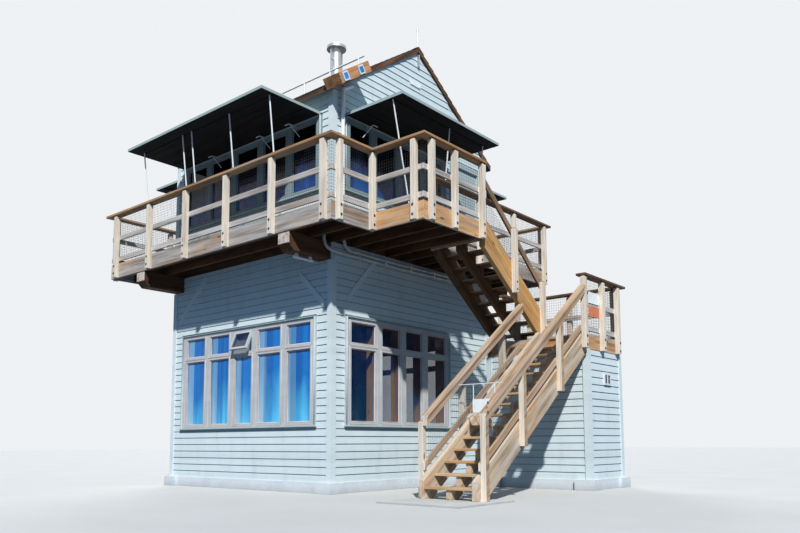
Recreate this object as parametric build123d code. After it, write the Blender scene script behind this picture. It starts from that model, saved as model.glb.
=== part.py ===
"""Fire lookout tower: a two-storey timber building with a catwalk, stair and gabled cab.

The frame has +X to the right along the gabled front, +Y to the back and +Z up.
The origin is the centre of the square tower at ground level. All sizes are millimetres.
"""
import math
import os

from build123d import *

# Tower body
tower_side = 4630
siding = 18
wall_thickness = 150
foundation_height = 178
foundation_proud = 60
pier_length = 360
pier_proud = 100
floor_thickness = 90
corner_board = 110
brace_width = 90
left_braces = (((790, 3740), (160, 3130)), ((1050, 4060), (240, 3310)))
front_braces = (((1070, 4040), (360, 3250)), ((1078, 3929), (230, 3285)))

# Stair rhythm, which also sets the two upper levels
pad_height = 20
riser = 178.6
going = 241
lower_risers = 15
upper_risers = 10

# Catwalk
deck_overhang = 915
deck_board = 38
joist_depth = 257
joist_width = 60
joist_count = 15
blocking_width = 60
fascia_thickness = 38
beam_width = 270
beam_depth = 300
beam_inset = 52
beam_reach = 900
beam_end_cut = 110

# Stair platform that stands out from the front of the catwalk, from the left corner of the tower
platform_start = 0
platform_end = 1590
platform_reach = 1972

# Guards
guard_height = 1031
post = 89
cap_width = 180
cap_thickness = 40
cap_lip = 14
guard_rail_depth = 89
guard_rail_thickness = 38
rail_heights = (50, 490)
post_bevel = 30
post_from_corner = 130
post_from_far_corner = 250
run_posts = 6
platform_posts = (145, 740, 1505)
jog_post_back = 150

# Stair
stringer_thickness = 89
stringer_depth = 340
lower_stringer_rise = 88
upper_stringer_rise = 10
tread_thickness = 38
tread_depth = 255
nosing = 34
stair_outer_face = 2967
stair_inner_face = 2045
lower_hand_rail = 800
hand_cap_depth = 38
stair_rail_low = 160
stair_post_drop = 290
lower_posts = (0, 1020, 2200)
upper_posts = (2500, 3450)
upper_post_heads = (760, 660)
upper_post_drop = 410
upper_hand_rail = (530, 700)
upper_hand_depth = 112
rail_clearance = 12
pad_x = (-870, 450)
pad_y = (-3200, -1780)

# Annex and landing
annex_left = 3272
annex_width = 1334
annex_back = 890
annex_wall = 120
landing_frame = 230
landing_posts = (-170, 530, 1160)
annex_vent = (270, 210)
annex_vent_left = 600
annex_vent_sill = 1835
vent_bar = 30
vent_proud = 38

# Windows and doors
casing = 60
door_trim = 90
casing_proud = 30
frame_bar = 88
frame_rail = 46
frame_depth = 90
glass_thickness = 8
window_sill = 1134
window_head = 2929
transom_light = 456
side_margins = (415, 415)
side_shares = (776, 772, 678, 797, 779)
front_margins = (373, 1433)
front_shares = (790, 655, 645, 735)
door_margin = 315
door_width = 900
door_height = 2030
door_thickness = 45
door_setback = 40
awning_light = 2
awning_tilt = 22
sash_bar = 40
screen_thickness = 4

# Cab
cab_sill = 700
cab_window_height = 1260
cab_side_margins = (315, 315)
cab_side_shares = (1, 1, 1, 1, 1)
cab_front_margins = (330, 1505)
cab_front_shares = (1, 1, 1, 1)
cab_wall_height = 2405

# Shutters
shutter_thickness = 55
shutter_depth = 1300
shutter_margin = 30
shutter_rise = 90
prop_radius = 12
left_props = (380, 1450, 2570, 2850, 4150)
right_props = (480, 1800, 2900, 4150)
back_props = (480, 1800, 2900, 4150)
front_props = (1900, 2960)
pole_head = (360, -1050)
pole_foot = (840, -1050)
prop_lean = 110
hook_radius = 9
hook_drop = 90
hook_reach = 300
hook_shift = 150
hook_tip = 105
left_hooks = (920, 1710, 3160)
front_hooks = (840,)

# Roof
roof_pitch = 34.6
roof_thickness = 100
eave_overhang = 170
rake_overhang = 30

# Roof fittings
flue_radius = 95
flue_height = 745
flue_cap_radius = 200
flue_cap_height = 130
mast_radius = 14
mast_height = 400
mast_bracket_drop = 60
mast_bracket_height = 240
mast_bracket_reach = 60
flue_place = (-650, -700)
flue_band_height = 55
flue_frame_reach = 150
flue_frame_bar = 26
flue_frame_height = 420
snow_rail_x = 700
snow_rail_ends = (-80, 2300)
snow_rail_feet = (60, 800, 1500, 2150)
snow_rail_radius = 17
snow_rail_lift = 240
conduit_radius = 34
conduit_x = 200
conduit_offset = 50
conduit_top = 6920
conduit_run = 220
conduit_rise = 130
rake_box_length = 870
rake_box_reach = 380
rake_box_depth = 190
rake_box_board = 25
rake_light_size = 150
rake_light_places = (130, 580)

# Lamp under the catwalk, and the bare sign boards
lamp_radius = 22
lamp_ends = (-680, -260)
lamp_drop = 60
sign_thickness = 12
stair_sign_x = 750
stair_sign_width = 410
stair_sign_height = 200
stair_sign_top = 1475
sign_rod_radius = 6
sign_rod_rise = 850
landing_sign_ends = ((3360, 3750), (3350, 3750))
landing_sign_levels = ((3250, 3450), (3015, 3200))
plaque_ends = (2080, 2385)
plaque_levels = (7750, 7850)

# Levels and planes worked out from the sizes above
half = tower_side / 2
wall_face = half - siding
landing_top = pad_height + lower_risers * riser
deck_top = landing_top + upper_risers * riser
joist_top = deck_top - deck_board
joist_bottom = joist_top - joist_depth
beam_bottom = joist_bottom - beam_depth
deck_edge = half + deck_overhang
wall_top = deck_top + cab_wall_height
out = post + cap_lip
back_in = out - cap_width
trim_face = -half - casing_proud + siding
slope = math.tan(math.radians(roof_pitch))
transom_height = window_head - transom_light
ridge_under = wall_top + wall_face * slope

os.makedirs("parts", exist_ok=True)


def block(x, y, z):
    """A box from its low and high value along each axis."""
    size = [high - low for low, high in (x, y, z)]
    centre = [(high + low) / 2 for low, high in (x, y, z)]
    return Pos(*centre) * Box(*size)


def fuse(shapes):
    """Join overlapping or touching shapes into one."""
    result = shapes[0]
    for shape in shapes[1:]:
        result += shape
    return result


def on_side(shape, side):
    """Turn a piece made for the front to the front, right, back or left side."""
    quarter_turns = {"front": 0, "right": 1, "back": 2, "left": 3}
    return Rot(0, 0, 90 * quarter_turns[side]) * shape


def save(name, shapes):
    """Write one node as a STEP file."""
    solids = []
    for shape in shapes:
        solids += shape.solids()
    export_step(Compound(children=solids), f"parts/{name}.step")


def extrude_profile(points, low, high, plane):
    """A prism whose outline is drawn in a plane and reaches from low to high across it."""
    face = make_face(Polyline(*points, close=True))
    if plane == "XZ":
        return extrude(Plane.XZ.offset(-high) * face, high - low)
    return extrude(Plane.YZ.offset(low) * face, high - low)


def pointed_post(x, near_face, foot, head):
    """An upright whose head is bevelled on all four sides."""
    body = block((x - post / 2, x + post / 2), (near_face, near_face + post), (foot, head))
    return chamfer(body.edges().group_by(Axis.Z)[-1], post_bevel)


# Foundation: a concrete plinth ring with wider piers at the corners, and the ground floor
def foundation():
    outer = wall_face + foundation_proud - siding
    inner = wall_face - wall_thickness - foundation_proud
    ring = Box(2 * outer, 2 * outer, foundation_height) - Box(2 * inner, 2 * inner, foundation_height)
    ring = Pos(0, 0, foundation_height / 2) * ring
    pier_outer = wall_face + pier_proud
    pier_centre = pier_outer - pier_length / 2
    pier = Box(pier_length, pier_length, foundation_height)
    for x_sign in (-1, 1):
        for y_sign in (-1, 1):
            ring += Pos(x_sign * pier_centre, y_sign * pier_centre, foundation_height / 2) * pier
    return ring - block((-inner, inner), (-inner, inner), (-1, foundation_height + 1))


def ground_floor():
    reach = wall_face - wall_thickness - foundation_proud
    return block((-reach, reach), (-reach, reach), (foundation_height - floor_thickness, foundation_height))


# Beams that run from side to side through the walls and carry the catwalk past them
def deck_beams():
    beams = []
    reach = half + beam_reach
    for y_sign in (-1, 1):
        outline = [(-reach, joist_bottom), (reach, joist_bottom), (reach, beam_bottom + beam_end_cut),
                   (reach - beam_end_cut, beam_bottom), (-reach + beam_end_cut, beam_bottom),
                   (-reach, beam_bottom + beam_end_cut)]
        near = half - beam_inset - beam_width
        low = near if y_sign > 0 else -near - beam_width
        beams.append(extrude_profile(outline, low, low + beam_width, "XZ"))
    return beams


# Lower walls, with the window and door openings cut through and seats for the beams
def share_lights(margins, shares):
    """The left edge and the light widths of a window group that keeps its distance to both corners."""
    width = tower_side - sum(margins)
    return margins[0], [width * share / sum(shares) for share in shares]


def group_opening(group, sill, head):
    """The hole for a window group, in a front wall."""
    left, lights = group
    start = left - half
    deep = 4 * wall_thickness
    return block((start, start + sum(lights)), (-wall_face - deep, -wall_face + deep), (sill, head))


side_group = share_lights(side_margins, side_shares)
front_group = share_lights(front_margins, front_shares)
lower_groups = {"left": side_group, "front": front_group, "right": front_group, "back": side_group}
cab_side_group = share_lights(cab_side_margins, cab_side_shares)
cab_front_group = share_lights(cab_front_margins, cab_front_shares)
cab_groups = {"left": cab_side_group, "front": cab_front_group, "right": cab_side_group,
              "back": cab_side_group}
cab_low = deck_top + cab_sill
cab_high = cab_low + cab_window_height
door_left = tower_side - door_margin - door_width
door_sill = foundation_height


def wall_slab(side, low, high):
    reach = wall_face if side in ("front", "back") else wall_face - wall_thickness
    return block((-reach, reach), (-wall_face, -wall_face + wall_thickness), (low, high))


def door_opening(sill):
    start = door_left - half
    return block((start, start + door_width), (-half - wall_thickness, -half + 2 * wall_thickness),
                 (sill - 1, sill + door_height))


def lower_wall(side):
    wall = wall_slab(side, foundation_height, joist_bottom)
    wall -= group_opening(lower_groups[side], window_sill, window_head)
    if side == "right":
        wall -= door_opening(door_sill)
    wall = on_side(wall, side)
    for beam in deck_beams():
        wall -= beam
    return wall


def cab_wall(side):
    wall = wall_slab(side, deck_top, wall_top)
    if side in ("left", "right"):
        reach = wall_face - wall_thickness
        wedge = [(-wall_face, wall_top), (-wall_face + wall_thickness, wall_top),
                 (-wall_face + wall_thickness, wall_top + wall_thickness * slope)]
        wall += extrude_profile(wedge, -reach, reach, "YZ")
    wall -= group_opening(cab_groups[side], cab_low, cab_high)
    if side == "front":
        wall -= door_opening(deck_top)
    return on_side(wall, side)


# Window groups: a fixed frame with mullions, a transom where the row has one, and the glass
frame_outer = trim_face
frame_inner = frame_outer + frame_depth
pane_middle = (frame_outer + frame_inner) / 2


def flat_pane(x, z):
    return block(x, (pane_middle - glass_thickness / 2, pane_middle + glass_thickness / 2), z)


def awning_sash(x, z):
    """A sash hung at its head and tilted open, as a frame and its pane."""
    width, height = x[1] - x[0], z[1] - z[0]
    middle = sum(x) / 2
    ring = block((-width / 2, width / 2), (-sash_bar, 0), (-height, 0))
    hole = ((sash_bar - width / 2, width / 2 - sash_bar), (sash_bar - height, -sash_bar))
    ring -= block(hole[0], (-sash_bar - 1, 1), hole[1])
    pane = block(hole[0], (-(sash_bar + glass_thickness) / 2, (glass_thickness - sash_bar) / 2), hole[1])
    place = Pos(middle, frame_outer + sash_bar, z[1]) * Rot(-awning_tilt, 0, 0)
    return place * ring, place * pane


def window_frame(group, sill, head, transom, open_light=None):
    left, lights = group
    start = left - half
    end = start + sum(lights)
    frame = block((start, end), (frame_outer, frame_inner), (sill, head))
    panes = []
    extras = []
    rows = [(sill, head)] if transom is None else [(sill, transom), (transom, head)]
    x = start
    for column, light in enumerate(lights):
        for low, high in rows:
            hole_x = (x + frame_bar, x + light - frame_bar)
            hole_z = (low + frame_rail, high - frame_rail)
            frame -= block(hole_x, (frame_outer - 1, frame_inner + 1), hole_z)
            if column == open_light and high == head:
                sash, pane = awning_sash(hole_x, hole_z)
                screen = block(hole_x, (frame_inner - screen_thickness, frame_inner), hole_z)
                extras += [sash, screen]
                panes.append(pane)
            else:
                panes.append(flat_pane(hole_x, hole_z))
        x += light
    board = block((start - casing, end + casing), (trim_face, -wall_face), (sill - casing, head + casing))
    board -= block((start, end), (trim_face - 1, -wall_face + 1), (sill, head))
    return fuse([frame, board] + extras), panes


def door_leaf(sill):
    start = door_left - half
    y_low = -wall_face + door_setback
    leaf = block((start, start + door_width), (y_low, y_low + door_thickness), (sill, sill + door_height))
    trim = block((start - door_trim, start + door_width + door_trim), (trim_face, -wall_face),
                 (sill, sill + door_height + door_trim))
    trim -= block((start, start + door_width), (trim_face - 1, -wall_face + 1),
                  (sill - 1, sill + door_height))
    return [leaf, trim]


# Corner boards up both storeys and the annex, and the diagonal braces let into the lower siding
def corner_boards(x_faces, y_faces, low, high):
    """L-shaped boards round the four corners of a box of walls."""
    boards = []
    for x_face, x_out in zip(x_faces, (-1, 1)):
        for y_face, y_out in zip(y_faces, (-1, 1)):
            lap = corner_board - casing_proud
            outer = block(sorted((x_face + x_out * casing_proud, x_face - x_out * lap)),
                          sorted((y_face + y_out * casing_proud, y_face - y_out * lap)), (low, high))
            inner = block(sorted((x_face, x_face - x_out * corner_board)),
                          sorted((y_face, y_face - y_out * corner_board)), (low - 1, high + 1))
            boards.append(outer - inner)
    return boards


def brace(start, end, from_right):
    """A raked board on the front wall, placed from its left or right corner and cut plumb at both ends."""
    x0, x1 = (half - start[0], half - end[0]) if from_right else (start[0] - half, end[0] - half)
    vertical = brace_width / abs(math.cos(math.atan((end[1] - start[1]) / (end[0] - start[0]))))
    outline = [(x0, start[1] - vertical / 2), (x1, end[1] - vertical / 2), (x1, end[1] + vertical / 2),
               (x0, start[1] + vertical / 2)]
    return extrude_profile(outline, trim_face, -wall_face, "XZ")


def wall_braces():
    """A pair of braces on the left and front walls, each placed from the corner that it leans to."""
    front = [brace(*ends, turned) for ends, turned in zip(front_braces, (False, True))]
    left = [on_side(brace(*ends, turned), "left") for ends, turned in zip(left_braces, (True, False))]
    return front + left


# Catwalk deck: joists from front to back, boards over them and a fascia round the edge
deck_in = deck_edge - fascia_thickness
platform_left = -half + platform_start
platform_right = -half + platform_end
platform_front = -half - platform_reach


def deck_joists():
    joists = []
    first = -deck_in + joist_width / 2
    pitch = (2 * deck_in - joist_width) / (joist_count - 1)
    for index in range(joist_count):
        x = first + index * pitch
        front = -deck_in
        if platform_left + fascia_thickness < x - joist_width / 2 and x + joist_width / 2 < platform_right:
            front = platform_front + fascia_thickness
        joists.append(block((x - joist_width / 2, x + joist_width / 2), (front, deck_in),
                            (joist_bottom, joist_top)))
    for index in range(joist_count - 1):
        x = first + index * pitch + joist_width / 2
        if abs(x + (pitch - joist_width) / 2) > wall_face:
            continue
        for y in (-wall_face, wall_face - blocking_width):
            joists.append(block((x, x + pitch - joist_width), (y, y + blocking_width),
                                (joist_bottom, joist_top)))
    return joists


def deck_boards():
    boards = block((-deck_in, deck_in), (-deck_in, deck_in), (joist_top, deck_top))
    boards += block((platform_left + fascia_thickness, platform_right - fascia_thickness),
                    (platform_front + fascia_thickness, -deck_in), (joist_top, deck_top))
    return boards + stair_head_board()


def stair_head_board():
    """The deck's edge over the fascia at the stair head, one nosing out."""
    return block((platform_right - fascia_thickness, platform_right + nosing),
                 (upper_outer_y + stringer_thickness, upper_inner_y), (joist_top, deck_top))


def deck_fascia():
    full = block((-deck_edge, deck_edge), (-deck_edge, deck_edge), (joist_bottom, deck_top))
    full += block((platform_left, platform_right), (platform_front, -deck_in), (joist_bottom, deck_top))
    full -= block((-deck_in, deck_in), (-deck_in, deck_in), (joist_bottom - 1, deck_top + 1))
    full -= block((platform_left + fascia_thickness, platform_right - fascia_thickness),
                  (platform_front + fascia_thickness, -deck_in + 1), (joist_bottom - 1, deck_top + 1))
    return full - stair_head_board()


# Guards: posts bolted outside the fascia, two rails inside them and a flat cap over all
def guard(length, post_places, start_miter, end_miter, drop=-(deck_board + joist_depth)):
    """A straight guard along +X, its fascia face at y 0, the outside at -y and its deck at z 0."""
    outside = -post - cap_lip
    inside = outside + cap_width
    top = guard_height
    start_out, start_in = start_miter
    end_out, end_in = end_miter
    outline = [(start_out, outside), (length + end_out, outside), (length + end_in, inside),
               (start_in, inside)]
    cap = Pos(0, 0, top - cap_thickness) * extrude(make_face(Polyline(*outline, close=True)), cap_thickness)
    pieces = [cap]
    for place in post_places:
        pieces.append(pointed_post(place, -post, drop, top - cap_thickness))
    rail_start = guard_rail_thickness if start_out < 0 else 0
    for height in rail_heights:
        pieces.append(block((rail_start, length), (0, guard_rail_thickness),
                            (height, height + guard_rail_depth)))
    return fuse(pieces)


convex_start = (-out, -back_in)
convex_end = (out, back_in)
square_end = (0, 0)
side_length = 2 * deck_edge
post_spacing = (side_length - post_from_corner - post_from_far_corner) / (run_posts - 1)
side_posts = [post_from_corner + index * post_spacing for index in range(run_posts)]
mirrored_posts = [side_length - place for place in reversed(side_posts)]
back_spacing = (side_length - 2 * post_from_corner) / (run_posts - 1)
back_posts = [post_from_corner + index * back_spacing for index in range(run_posts)]


def catwalk_guards():
    """Every guard round the catwalk, each run named for the edge that it follows."""
    first = platform_left + deck_edge
    reach = platform_reach - deck_overhang
    width = platform_end - platform_start
    rest = deck_edge - platform_right
    rest_posts = [rest - post_from_corner - index * post_spacing for index in range(3)]
    return {
        "left_guard": Pos(-deck_edge, deck_edge, deck_top) * Rot(0, 0, -90)
        * guard(side_length, mirrored_posts, convex_start, convex_end),
        "right_guard": Pos(deck_edge, -deck_edge, deck_top) * Rot(0, 0, 90)
        * guard(side_length, side_posts, convex_start, convex_end),
        "back_guard": Pos(deck_edge, deck_edge, deck_top) * Rot(0, 0, 180)
        * guard(side_length, back_posts, convex_start, convex_end),
        "front_left_guard": Pos(-deck_edge, -deck_edge, deck_top)
        * guard(first, [post_from_corner, first - post / 2], convex_start, convex_start),
        "jog_guard": Pos(platform_left, -deck_edge, deck_top) * Rot(0, 0, -90)
        * guard(reach, [reach - jog_post_back], convex_end, convex_end),
        "platform_guard": Pos(platform_left, platform_front, deck_top)
        * guard(width, platform_posts, convex_start, square_end),
        "front_right_guard": Pos(platform_right, -deck_edge, deck_top)
        * guard(rest, rest_posts, square_end, convex_end),
    }


# Stair flights: closed stringers, a notched carriage under mid-tread and the treads between them
pitch = riser / going
stringer_drop = stringer_depth / math.cos(math.atan(pitch))
landing_left = annex_left - half
landing_right = landing_left + annex_width
lower_start = landing_left - nosing - (lower_risers - 1) * going
outer_y = -half - stair_outer_face
inner_y = -half - stair_inner_face
upper_inner_y = -deck_edge - stringer_thickness
upper_outer_y = platform_front
upper_start = platform_right + nosing + (upper_risers - 1) * going


def climb_line(first_x, first_z, direction):
    """The line through the nosings of a flight, as a function of x."""
    return lambda x: first_z + (x - first_x) * direction * pitch


lower_line = climb_line(lower_start, pad_height + riser, 1)
upper_line = climb_line(upper_start, landing_top + riser, -1)


def stringer(line, ends, foot, rise, y):
    """A raked board parallel to the nosings, cut plumb at both ends and level at its foot."""
    low_x, high_x = ends
    drop = stringer_drop - rise
    outline = [(low_x, line(low_x) + rise), (high_x, line(high_x) + rise), (high_x, line(high_x) - drop)]
    outline += foot_cut(line, ends, foot, drop)
    return extrude_profile(outline, y, y + stringer_thickness, "XZ")


def foot_cut(line, ends, foot, drop):
    """The level cut where the lower edge of a raked board meets what it stands on."""
    low_x, high_x = ends
    run = max(0.0, foot - (line(low_x) - drop)) / pitch
    return [(low_x + math.copysign(run, high_x - low_x), foot), (low_x, foot)]


def carriage(line, first_x, direction, count, foot, drop, y):
    """A raked board notched to carry the treads."""
    outline = []
    for index in range(count):
        x = first_x + direction * (nosing + index * going)
        under = line(first_x + direction * index * going) - tread_thickness
        outline += [(x, under), (x + direction * going, under)]
    ends = (first_x + direction * nosing, first_x + direction * (nosing + count * going))
    outline.append((ends[1], line(ends[1]) - drop))
    outline += foot_cut(line, ends, foot, drop)
    return extrude_profile(outline, y, y + stringer_thickness, "XZ")


def lower_stringers():
    ends = (lower_start, landing_left)
    middle = (outer_y + inner_y) / 2
    boards = [stringer(lower_line, ends, pad_height, lower_stringer_rise, y) for y in (outer_y, inner_y)]
    boards.append(carriage(lower_line, lower_start, 1, lower_risers - 1, pad_height,
                           stringer_drop - lower_stringer_rise, middle))
    return boards


def upper_stringers():
    ends = (upper_start, platform_right)
    middle = (upper_outer_y + upper_inner_y) / 2
    boards = [stringer(upper_line, ends, landing_top, upper_stringer_rise, y)
              for y in (upper_outer_y, upper_inner_y)]
    boards.append(carriage(upper_line, upper_start, -1, upper_risers - 1, landing_top,
                           stringer_drop - upper_stringer_rise, middle))
    return boards


def treads(first_x, first_z, count, y_low, y_high, direction):
    steps = []
    for index in range(count):
        x = first_x + direction * index * going
        z = first_z + index * riser
        ends = sorted((x, x + direction * tread_depth))
        steps.append(block(ends, (y_low, y_high), (z - tread_thickness, z)))
    return steps


def raked_rail(line, ends, lows, depth, face, width):
    """A rail at the given heights over the nosings at its two ends, its depth measured square to it."""
    tall = depth / math.cos(math.atan(pitch))
    start, end = [line(x) + low for x, low in zip(ends, lows)]
    outline = [(ends[0], start), (ends[1], end), (ends[1], end + tall), (ends[0], start + tall)]
    return extrude_profile(outline, face, face + width, "XZ")


def stair_posts(line, places, feet, heads, face):
    return [pointed_post(x, face, foot, line(x) + head) for x, foot, head in zip(places, feet, heads)]


def lower_guard(high_x, post_face, hand_face, rail_face):
    """A guard of the lower flight: posts, a hand rail under a flat cap and a rail near the treads."""
    places = [x - half for x in lower_posts]
    feet = [pad_height] + [lower_line(x) - stair_post_drop for x in places[1:]]
    ends = (places[0] - post / 2, high_x)
    tall = guard_rail_depth / math.cos(math.atan(pitch))
    pieces = stair_posts(lower_line, places, feet, [lower_hand_rail + tall / 2] * len(places), post_face)
    pieces.append(raked_rail(lower_line, ends, [lower_hand_rail] * 2, guard_rail_depth, hand_face, post))
    pieces.append(raked_rail(lower_line, ends, [lower_hand_rail + tall] * 2, hand_cap_depth,
                             hand_face - cap_lip, post + 2 * cap_lip))
    pieces.append(raked_rail(lower_line, ends, [stair_rail_low] * 2, guard_rail_depth, rail_face,
                             guard_rail_thickness))
    return fuse(pieces)


def lower_guards():
    """The outer guard, its hand rail on the posts, and the inner one that stops under the upper flight."""
    first_post = landing_left + landing_posts[0] - post / 2
    rail_top = lower_hand_rail + (guard_rail_depth + hand_cap_depth) / math.cos(math.atan(pitch))
    upper_bottom = upper_stringer_rise - stringer_drop
    meet = (upper_line(0) + upper_bottom - lower_line(0) - rail_top - rail_clearance) / (2 * pitch)
    inner_face = inner_y + stringer_thickness
    outer = lower_guard(first_post, outer_y - post, outer_y - post, outer_y)
    inner = lower_guard(meet, inner_face, inner_y, inner_face - guard_rail_thickness)
    return outer, inner


def upper_guard():
    """The upper flight's guard: posts outside the stringer and two rails on its face, inside them."""
    places = [x - half for x in upper_posts]
    feet = [max(landing_top, upper_line(x) - upper_post_drop) for x in places]
    pieces = stair_posts(upper_line, places, feet, upper_post_heads, upper_outer_y - post)
    ends = (places[-1] + post / 2, platform_right)
    for lows, depth in (([upper_stringer_rise] * 2, guard_rail_depth), (upper_hand_rail, upper_hand_depth)):
        pieces.append(raked_rail(upper_line, ends, lows, depth, upper_outer_y, guard_rail_thickness))
    return fuse(pieces)


def stair_pad():
    return block([x - half for x in pad_x], [y - half for y in pad_y], (0, pad_height))


# Landing over the annex
def landing_boards():
    boards = block((landing_left, landing_right), (outer_y, -half - annex_back),
                   (landing_top - deck_board, landing_top))
    return boards + block((landing_left - nosing, landing_left), (outer_y + stringer_thickness, inner_y),
                          (landing_top - deck_board, landing_top))


def landing_rim():
    low = landing_top - deck_board - landing_frame
    rim = block((landing_left, landing_right), (outer_y, -half - annex_back), (low, landing_top - deck_board))
    inset = fascia_thickness
    rim -= block((landing_left + inset, landing_right - inset),
                 (outer_y + inset, -half - annex_back - inset), (low - 1, landing_top))
    return rim


def landing_guards():
    """Guards on the landing's open front, right and back edges."""
    low = -(deck_board + landing_frame)
    depth = stair_outer_face - annex_back
    cap_start = landing_posts[0] - post / 2
    front = guard(annex_width, landing_posts, (cap_start, cap_start), convex_end, low)
    right = guard(depth, (post_from_corner, depth / 2, depth - post_from_corner), convex_start,
                  convex_end, low)
    back_length = landing_right - upper_start - rail_clearance
    back = guard(back_length, (post_from_corner, back_length - post / 2), convex_start, square_end, low)
    return {
        "landing_front_guard": Pos(landing_left, outer_y, landing_top) * front,
        "landing_right_guard": Pos(landing_right, outer_y, landing_top) * Rot(0, 0, 90) * right,
        "landing_back_guard": Pos(landing_right, -half - annex_back, landing_top) * Rot(0, 0, 180) * back,
    }


annex_x = (landing_left + siding, landing_right - siding)
annex_y = (outer_y + siding, -half - annex_back - siding)
annex_top = landing_top - deck_board - landing_frame


def annex_walls():
    x0, x1 = annex_x
    y0, y1 = annex_y
    t = annex_wall
    z = (foundation_height, annex_top)
    vent_x = (landing_left + annex_vent_left, landing_left + annex_vent_left + annex_vent[0])
    vent_z = (annex_vent_sill, annex_vent_sill + annex_vent[1])
    front = block((x0, x1), (y0, y0 + t), z) - block(vent_x, (y0 - 1, y0 + t + 1), vent_z)
    back = block((x0, x1), (y1 - t, y1), z)
    left = block((x0, x0 + t), (y0 + t, y1 - t), z)
    right = block((x1 - t, x1), (y0 + t, y1 - t), z)
    vent = block(vent_x, (y0 - vent_proud, y0 + t), vent_z)
    middle = sum(vent_x) / 2
    pane_z = (vent_z[0] + vent_bar, vent_z[1] - vent_bar)
    for pane in ((vent_x[0] + vent_bar, middle - vent_bar / 2), (middle + vent_bar / 2, vent_x[1] - vent_bar)):
        vent -= block(pane, (y0 - vent_proud - 1, y0), pane_z)
    return front, back, left, right, vent


def annex_foundation():
    proud = foundation_proud - siding
    slab = block((annex_x[0] - proud, annex_x[1] + proud), (annex_y[0] - proud, annex_y[1] + proud),
                 (0, foundation_height))
    for x_face, x_out in zip(annex_x, (-1, 1)):
        for y_face, y_out in zip(annex_y, (-1, 1)):
            edge_x = x_face + x_out * pier_proud
            edge_y = y_face + y_out * pier_proud
            slab += block(sorted((edge_x, edge_x - x_out * pier_length)),
                          sorted((edge_y, edge_y - y_out * pier_length)), (0, foundation_height))
    return slab


# Roof: two slopes on the cab walls, a gable wall at each end and a ridge board
def roof_slope(side):
    run = half + eave_overhang
    length = half + rake_overhang
    low_z = ridge_under - run * slope
    vertical = roof_thickness / math.cos(math.radians(roof_pitch))
    outline = [(0, ridge_under), (run, low_z), (run, low_z + vertical), (0, ridge_under + vertical)]
    slab = extrude_profile(outline, -length, length, "XZ")
    return slab if side == "right" else Rot(0, 0, 180) * slab


def gable(side):
    outline = [(-wall_face, wall_top), (wall_face, wall_top), (0, ridge_under)]
    y_low = -wall_face if side == "front" else wall_face - wall_thickness
    return extrude_profile(outline, y_low, y_low + wall_thickness, "XZ")


# Shutters propped level over the cab windows
shutter_top = cab_high + shutter_rise
shutter_low = shutter_top - shutter_thickness
cap_top = deck_top + guard_height


def shutter(side):
    left, lights = cab_groups[side]
    start = left - half - shutter_margin
    end = left - half + sum(lights) + shutter_margin
    panel = block((start, end), (trim_face - shutter_depth, trim_face), (shutter_low, shutter_top))
    return on_side(panel, side)


def rod(start, end, radius):
    """A round bar between two points."""
    axis = Vector(*end) - Vector(*start)
    plane = Plane(origin=start, z_dir=axis)
    return plane * Cylinder(radius, axis.length, align=(Align.CENTER, Align.CENTER, Align.MIN))


def bent_rod(points, radius):
    """Round bars from point to point, joined by balls."""
    bar = rod(points[0], points[1], radius)
    for start, end in zip(points[1:], points[2:]):
        bar += Pos(*start) * Sphere(radius)
        bar += rod(start, end, radius)
    return bar


def shutter_props():
    """Props that lean out from the guard caps to the shutters, and one pole that stands on the platform."""
    rods = []
    y = -deck_edge - post / 2
    for side, places in (("left", [tower_side - place for place in left_props]), ("right", right_props),
                         ("back", back_props), ("front", front_props)):
        for place in places:
            rods.append(on_side(leaning_rod((place - half, y), (place - half, y - prop_lean), cap_top), side))
    head = [value - half for value in pole_head]
    foot = [value - half for value in pole_foot]
    return rods + [leaning_rod(foot, head, deck_top)]


def leaning_rod(foot, head, low):
    """A prop from a level up to the shutters' underside, cut level at both ends."""
    past = shutter_thickness / (shutter_low - low)
    step_x, step_y = [(top - bottom) * past for top, bottom in zip(head, foot)]
    bar = rod((foot[0] - step_x, foot[1] - step_y, low - shutter_thickness),
              (head[0] + step_x, head[1] + step_y, shutter_low + shutter_thickness), prop_radius)
    reach = half + shutter_depth
    return bar & block((-reach, reach), (-reach, reach), (low, shutter_low))


def shutter_hooks():
    """Bent hooks that stand out from the heads of the cab windows under the shutters."""
    hooks = []
    z = cab_high
    for side, places in (("left", [tower_side - place for place in left_hooks]), ("front", front_hooks)):
        turn = -1 if side == "front" else 1
        for place in places:
            x = place - half
            bend = (x + turn * hook_shift, trim_face - hook_reach, z - hook_drop)
            tip = (bend[0] - turn * hook_tip, bend[1], bend[2])
            hook = bent_rod([(x, trim_face, z), bend, tip], hook_radius)
            hook &= block((-half, half), (trim_face - shutter_depth, trim_face), (deck_top, shutter_low))
            hooks.append(on_side(hook, side))
    return hooks


# Small fittings on the roof and the cab
def above_roof(shape):
    """Cut a fitting that stands on the left slope along the slope's face."""
    return (shape - roof_slope("left")).solids().sort_by(Axis.Z)[-1]


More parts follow.
